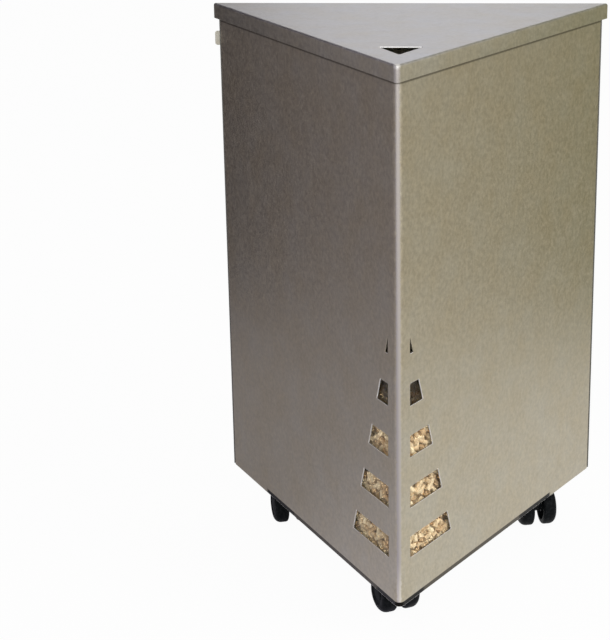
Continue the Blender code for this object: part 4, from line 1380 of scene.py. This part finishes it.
class PELLETBIN_OT_stage(PelletBinOperator, bpy.types.Operator):
    """Set the floor, the light and the camera"""

    bl_idname = "pellet_bin.stage"
    bl_label = "Stage"

    floor_reach, floor_thickness = 9.0, 0.002
    floor_white = 0.96  # how much of the floor is plain white where it is seen
    lamp_aim = (0.0, 0.0, 0.3)
    lamps = {"key": ((1.9, -1.3, 1.7), 1.1), "front": ((0.1, -2.35, 1.15), 0.4)}  # places and sizes
    camera_place = (0.0709, -2.0296, 1.0085)
    camera_turn, camera_tilt, camera_roll = 2.456, 90 - 18.013, -0.288  # degrees
    camera_shift = (-0.1348, -0.0244)
    sensor = 36.0

    def execute(self, context):
        scene = context.scene
        stage = scene.pellet_bin_stage
        scene.view_settings.view_transform = "Standard"
        self.world(scene, stage.fill)
        self.floor()
        self.boards(stage)
        for name, (place, size) in self.lamps.items():
            self.lamp(name, getattr(stage, name), place, size)
        self.camera(scene, stage.focal)
        return {"FINISHED"}

    def seen(self, tree):
        """One for rays that show the background: to the camera, in a mirror or through glass."""
        path = add_node(tree, "ShaderNodeLightPath").outputs
        rays = [path[f"Is {kind} Ray"] for kind in ("Camera", "Glossy", "Transmission")]
        direct = between(tree, path["Diffuse Depth"], 1.0, 0.0)
        return worked(tree, "MULTIPLY", worked(tree, "MAXIMUM", *rays), direct)

    def world(self, scene, fill):
        """A white surround, at full strength where it is seen and softer where it only lights."""
        scene.world = bpy.data.worlds.new("surround")
        scene.world.use_nodes = True
        tree = scene.world.node_tree
        surround = tree.nodes["Background"].inputs
        plug(tree, surround["Color"], (1.0, 1.0, 1.0, 1.0))
        plug(tree, surround["Strength"], between(tree, self.seen(tree), fill, 1.0))

    def floor(self):
        """A pale floor that keeps the bin's shadow."""
        circle = arc((0, 0), self.floor_reach, 0, 360, 64)[:-1]
        mesh = flat_sheet([circle], self.floor_thickness, 0.0005)
        mesh.transform(Matrix.Translation((0, 0, -self.floor_thickness / 2)))
        made = Finish("pale_floor")
        tree = made.tree
        mottle = made.grain(80.0, 3.0)["Mottle"]
        made.set(Base_Color=mixed(tree, mottle, (0.86, 0.86, 0.86), (0.90, 0.90, 0.90)), Roughness=0.9)
        white = output(tree, "ShaderNodeEmission", {"Color": (1.0, 1.0, 1.0, 1.0)})
        share = worked(tree, "MULTIPLY", self.seen(tree), self.floor_white)
        mesh.materials.append(made.shown(share, white))
        placed("floor", mesh)

    def boards(self, stage):
        """Boards beside the bin, which show only in its metal and give the walls their shade."""
        left, right, back, height, lift = -0.89, 0.80, 6.0, 2.4, 0.002
        left_end, right_end = -1.34, -0.83
        outline = [(left, y, z) for y, z in box_outline((left_end, lift), (back, height))]
        self.board("left", outline, (stage.left_back, stage.left_front), (0.65, 0.36))
        outline = [(x, y, lift) for x, y in box_outline((left, left_end), (0.0, back))]
        self.board("low_left", outline, (stage.low_back, stage.low_front), (0.15, -0.15))
        outline = [(right, y, z) for y, z in box_outline((right_end, lift), (back, height))]
        self.board("right", outline, (stage.right_back, stage.right_front), (0.56, 0.24))

    def board(self, name, outline, colours, fade):
        """A flat board, which glows in one colour at the back and another at the front."""
        mesh = bpy.data.meshes.new(f"board_{name}")
        mesh.from_pydata(outline, [], [range(len(outline))])
        made = Finish(f"board_{name}")
        tree = made.tree
        depth = add_node(tree, "ShaderNodeSeparateXYZ", {0: made.place}).outputs["Y"]
        shade = mixed(tree, ranged(tree, depth, *fade), *colours)
        mesh.materials.append(made.surfaced(output(tree, "ShaderNodeEmission", {"Color": shade})))
        board = placed(f"board_{name}", mesh)
        board.visible_camera = board.visible_diffuse = False
        board.visible_shadow = board.visible_transmission = False

    def lamp(self, name, power, location, size):
        """A round soft lamp, aimed at the windows."""
        light = bpy.data.lights.new(name, "AREA")
        light.energy = power
        light.shape = "DISK"
        light.size = size
        lamp = placed(name, light)
        lamp.location = location
        aim = Vector(self.lamp_aim) - lamp.location
        lamp.rotation_euler = aim.to_track_quat("-Z", "Y").to_euler()

    def camera(self, scene, focal):
        """The camera, where the walls' and the lid's corners fall as photographed."""
        data = bpy.data.cameras.new("camera")
        data.lens = focal
        data.sensor_width = self.sensor
        data.shift_x, data.shift_y = self.camera_shift
        camera = placed("camera", data)
        turns = ((self.camera_turn, "Z"), (self.camera_tilt, "X"), (self.camera_roll, "Z"))
        matrix = Matrix.Translation(self.camera_place)
        for degrees, axis in turns:
            matrix = matrix @ Matrix.Rotation(math.radians(degrees), 4, axis)
        camera.matrix_world = matrix
        scene.camera = camera


class PELLETBIN_PT_panel(bpy.types.Panel):
    """Lists the bin's settings and operators"""

    bl_idname = "PELLETBIN_PT_panel"
    bl_label = "Pellet Bin"
    bl_space_type = "VIEW_3D"
    bl_region_type = "UI"
    bl_category = "Pellet Bin"

    def draw(self, context):
        for operator in OPERATORS:
            self.layout.operator(operator.bl_idname)
        for name, group in SETTINGS.items():
            box = self.layout.box()
            box.label(text=group.__doc__)
            for setting in group.__annotations__:
                box.prop(getattr(context.scene, name), setting)


SETTINGS = {
    "pellet_bin_sheet": PelletBinSheet,
    "pellet_bin_pellets": PelletBinPellets,
    "pellet_bin_fittings": PelletBinFittings,
    "pellet_bin_stage": PelletBinStage,
}
OPERATORS = (
    PELLETBIN_OT_finishes,
    PELLETBIN_OT_walls,
    PELLETBIN_OT_lid,
    PELLETBIN_OT_panes,
    PELLETBIN_OT_pellets,
    PELLETBIN_OT_hook,
    PELLETBIN_OT_hinges,
    PELLETBIN_OT_rivets,
    PELLETBIN_OT_casters,
    PELLETBIN_OT_stage,
)
CLASSES = (*SETTINGS.values(), *OPERATORS, PELLETBIN_PT_panel)


def register():
    for cls in CLASSES:
        bpy.utils.register_class(cls)
    for name, group in SETTINGS.items():
        setattr(bpy.types.Scene, name, PointerProperty(type=group))


def unregister():
    for name in SETTINGS:
        delattr(bpy.types.Scene, name)
    for cls in reversed(CLASSES):
        bpy.utils.unregister_class(cls)


def main():
    register()
    bpy.ops.pellet_bin.finishes()
    bpy.ops.pellet_bin.walls()
    bpy.ops.pellet_bin.lid()
    bpy.ops.pellet_bin.panes()
    bpy.ops.pellet_bin.pellets()
    bpy.ops.pellet_bin.hook()
    bpy.ops.pellet_bin.hinges()
    bpy.ops.pellet_bin.rivets()
    bpy.ops.pellet_bin.casters()
    bpy.ops.pellet_bin.stage()


if __name__ == "__main__":
    main()
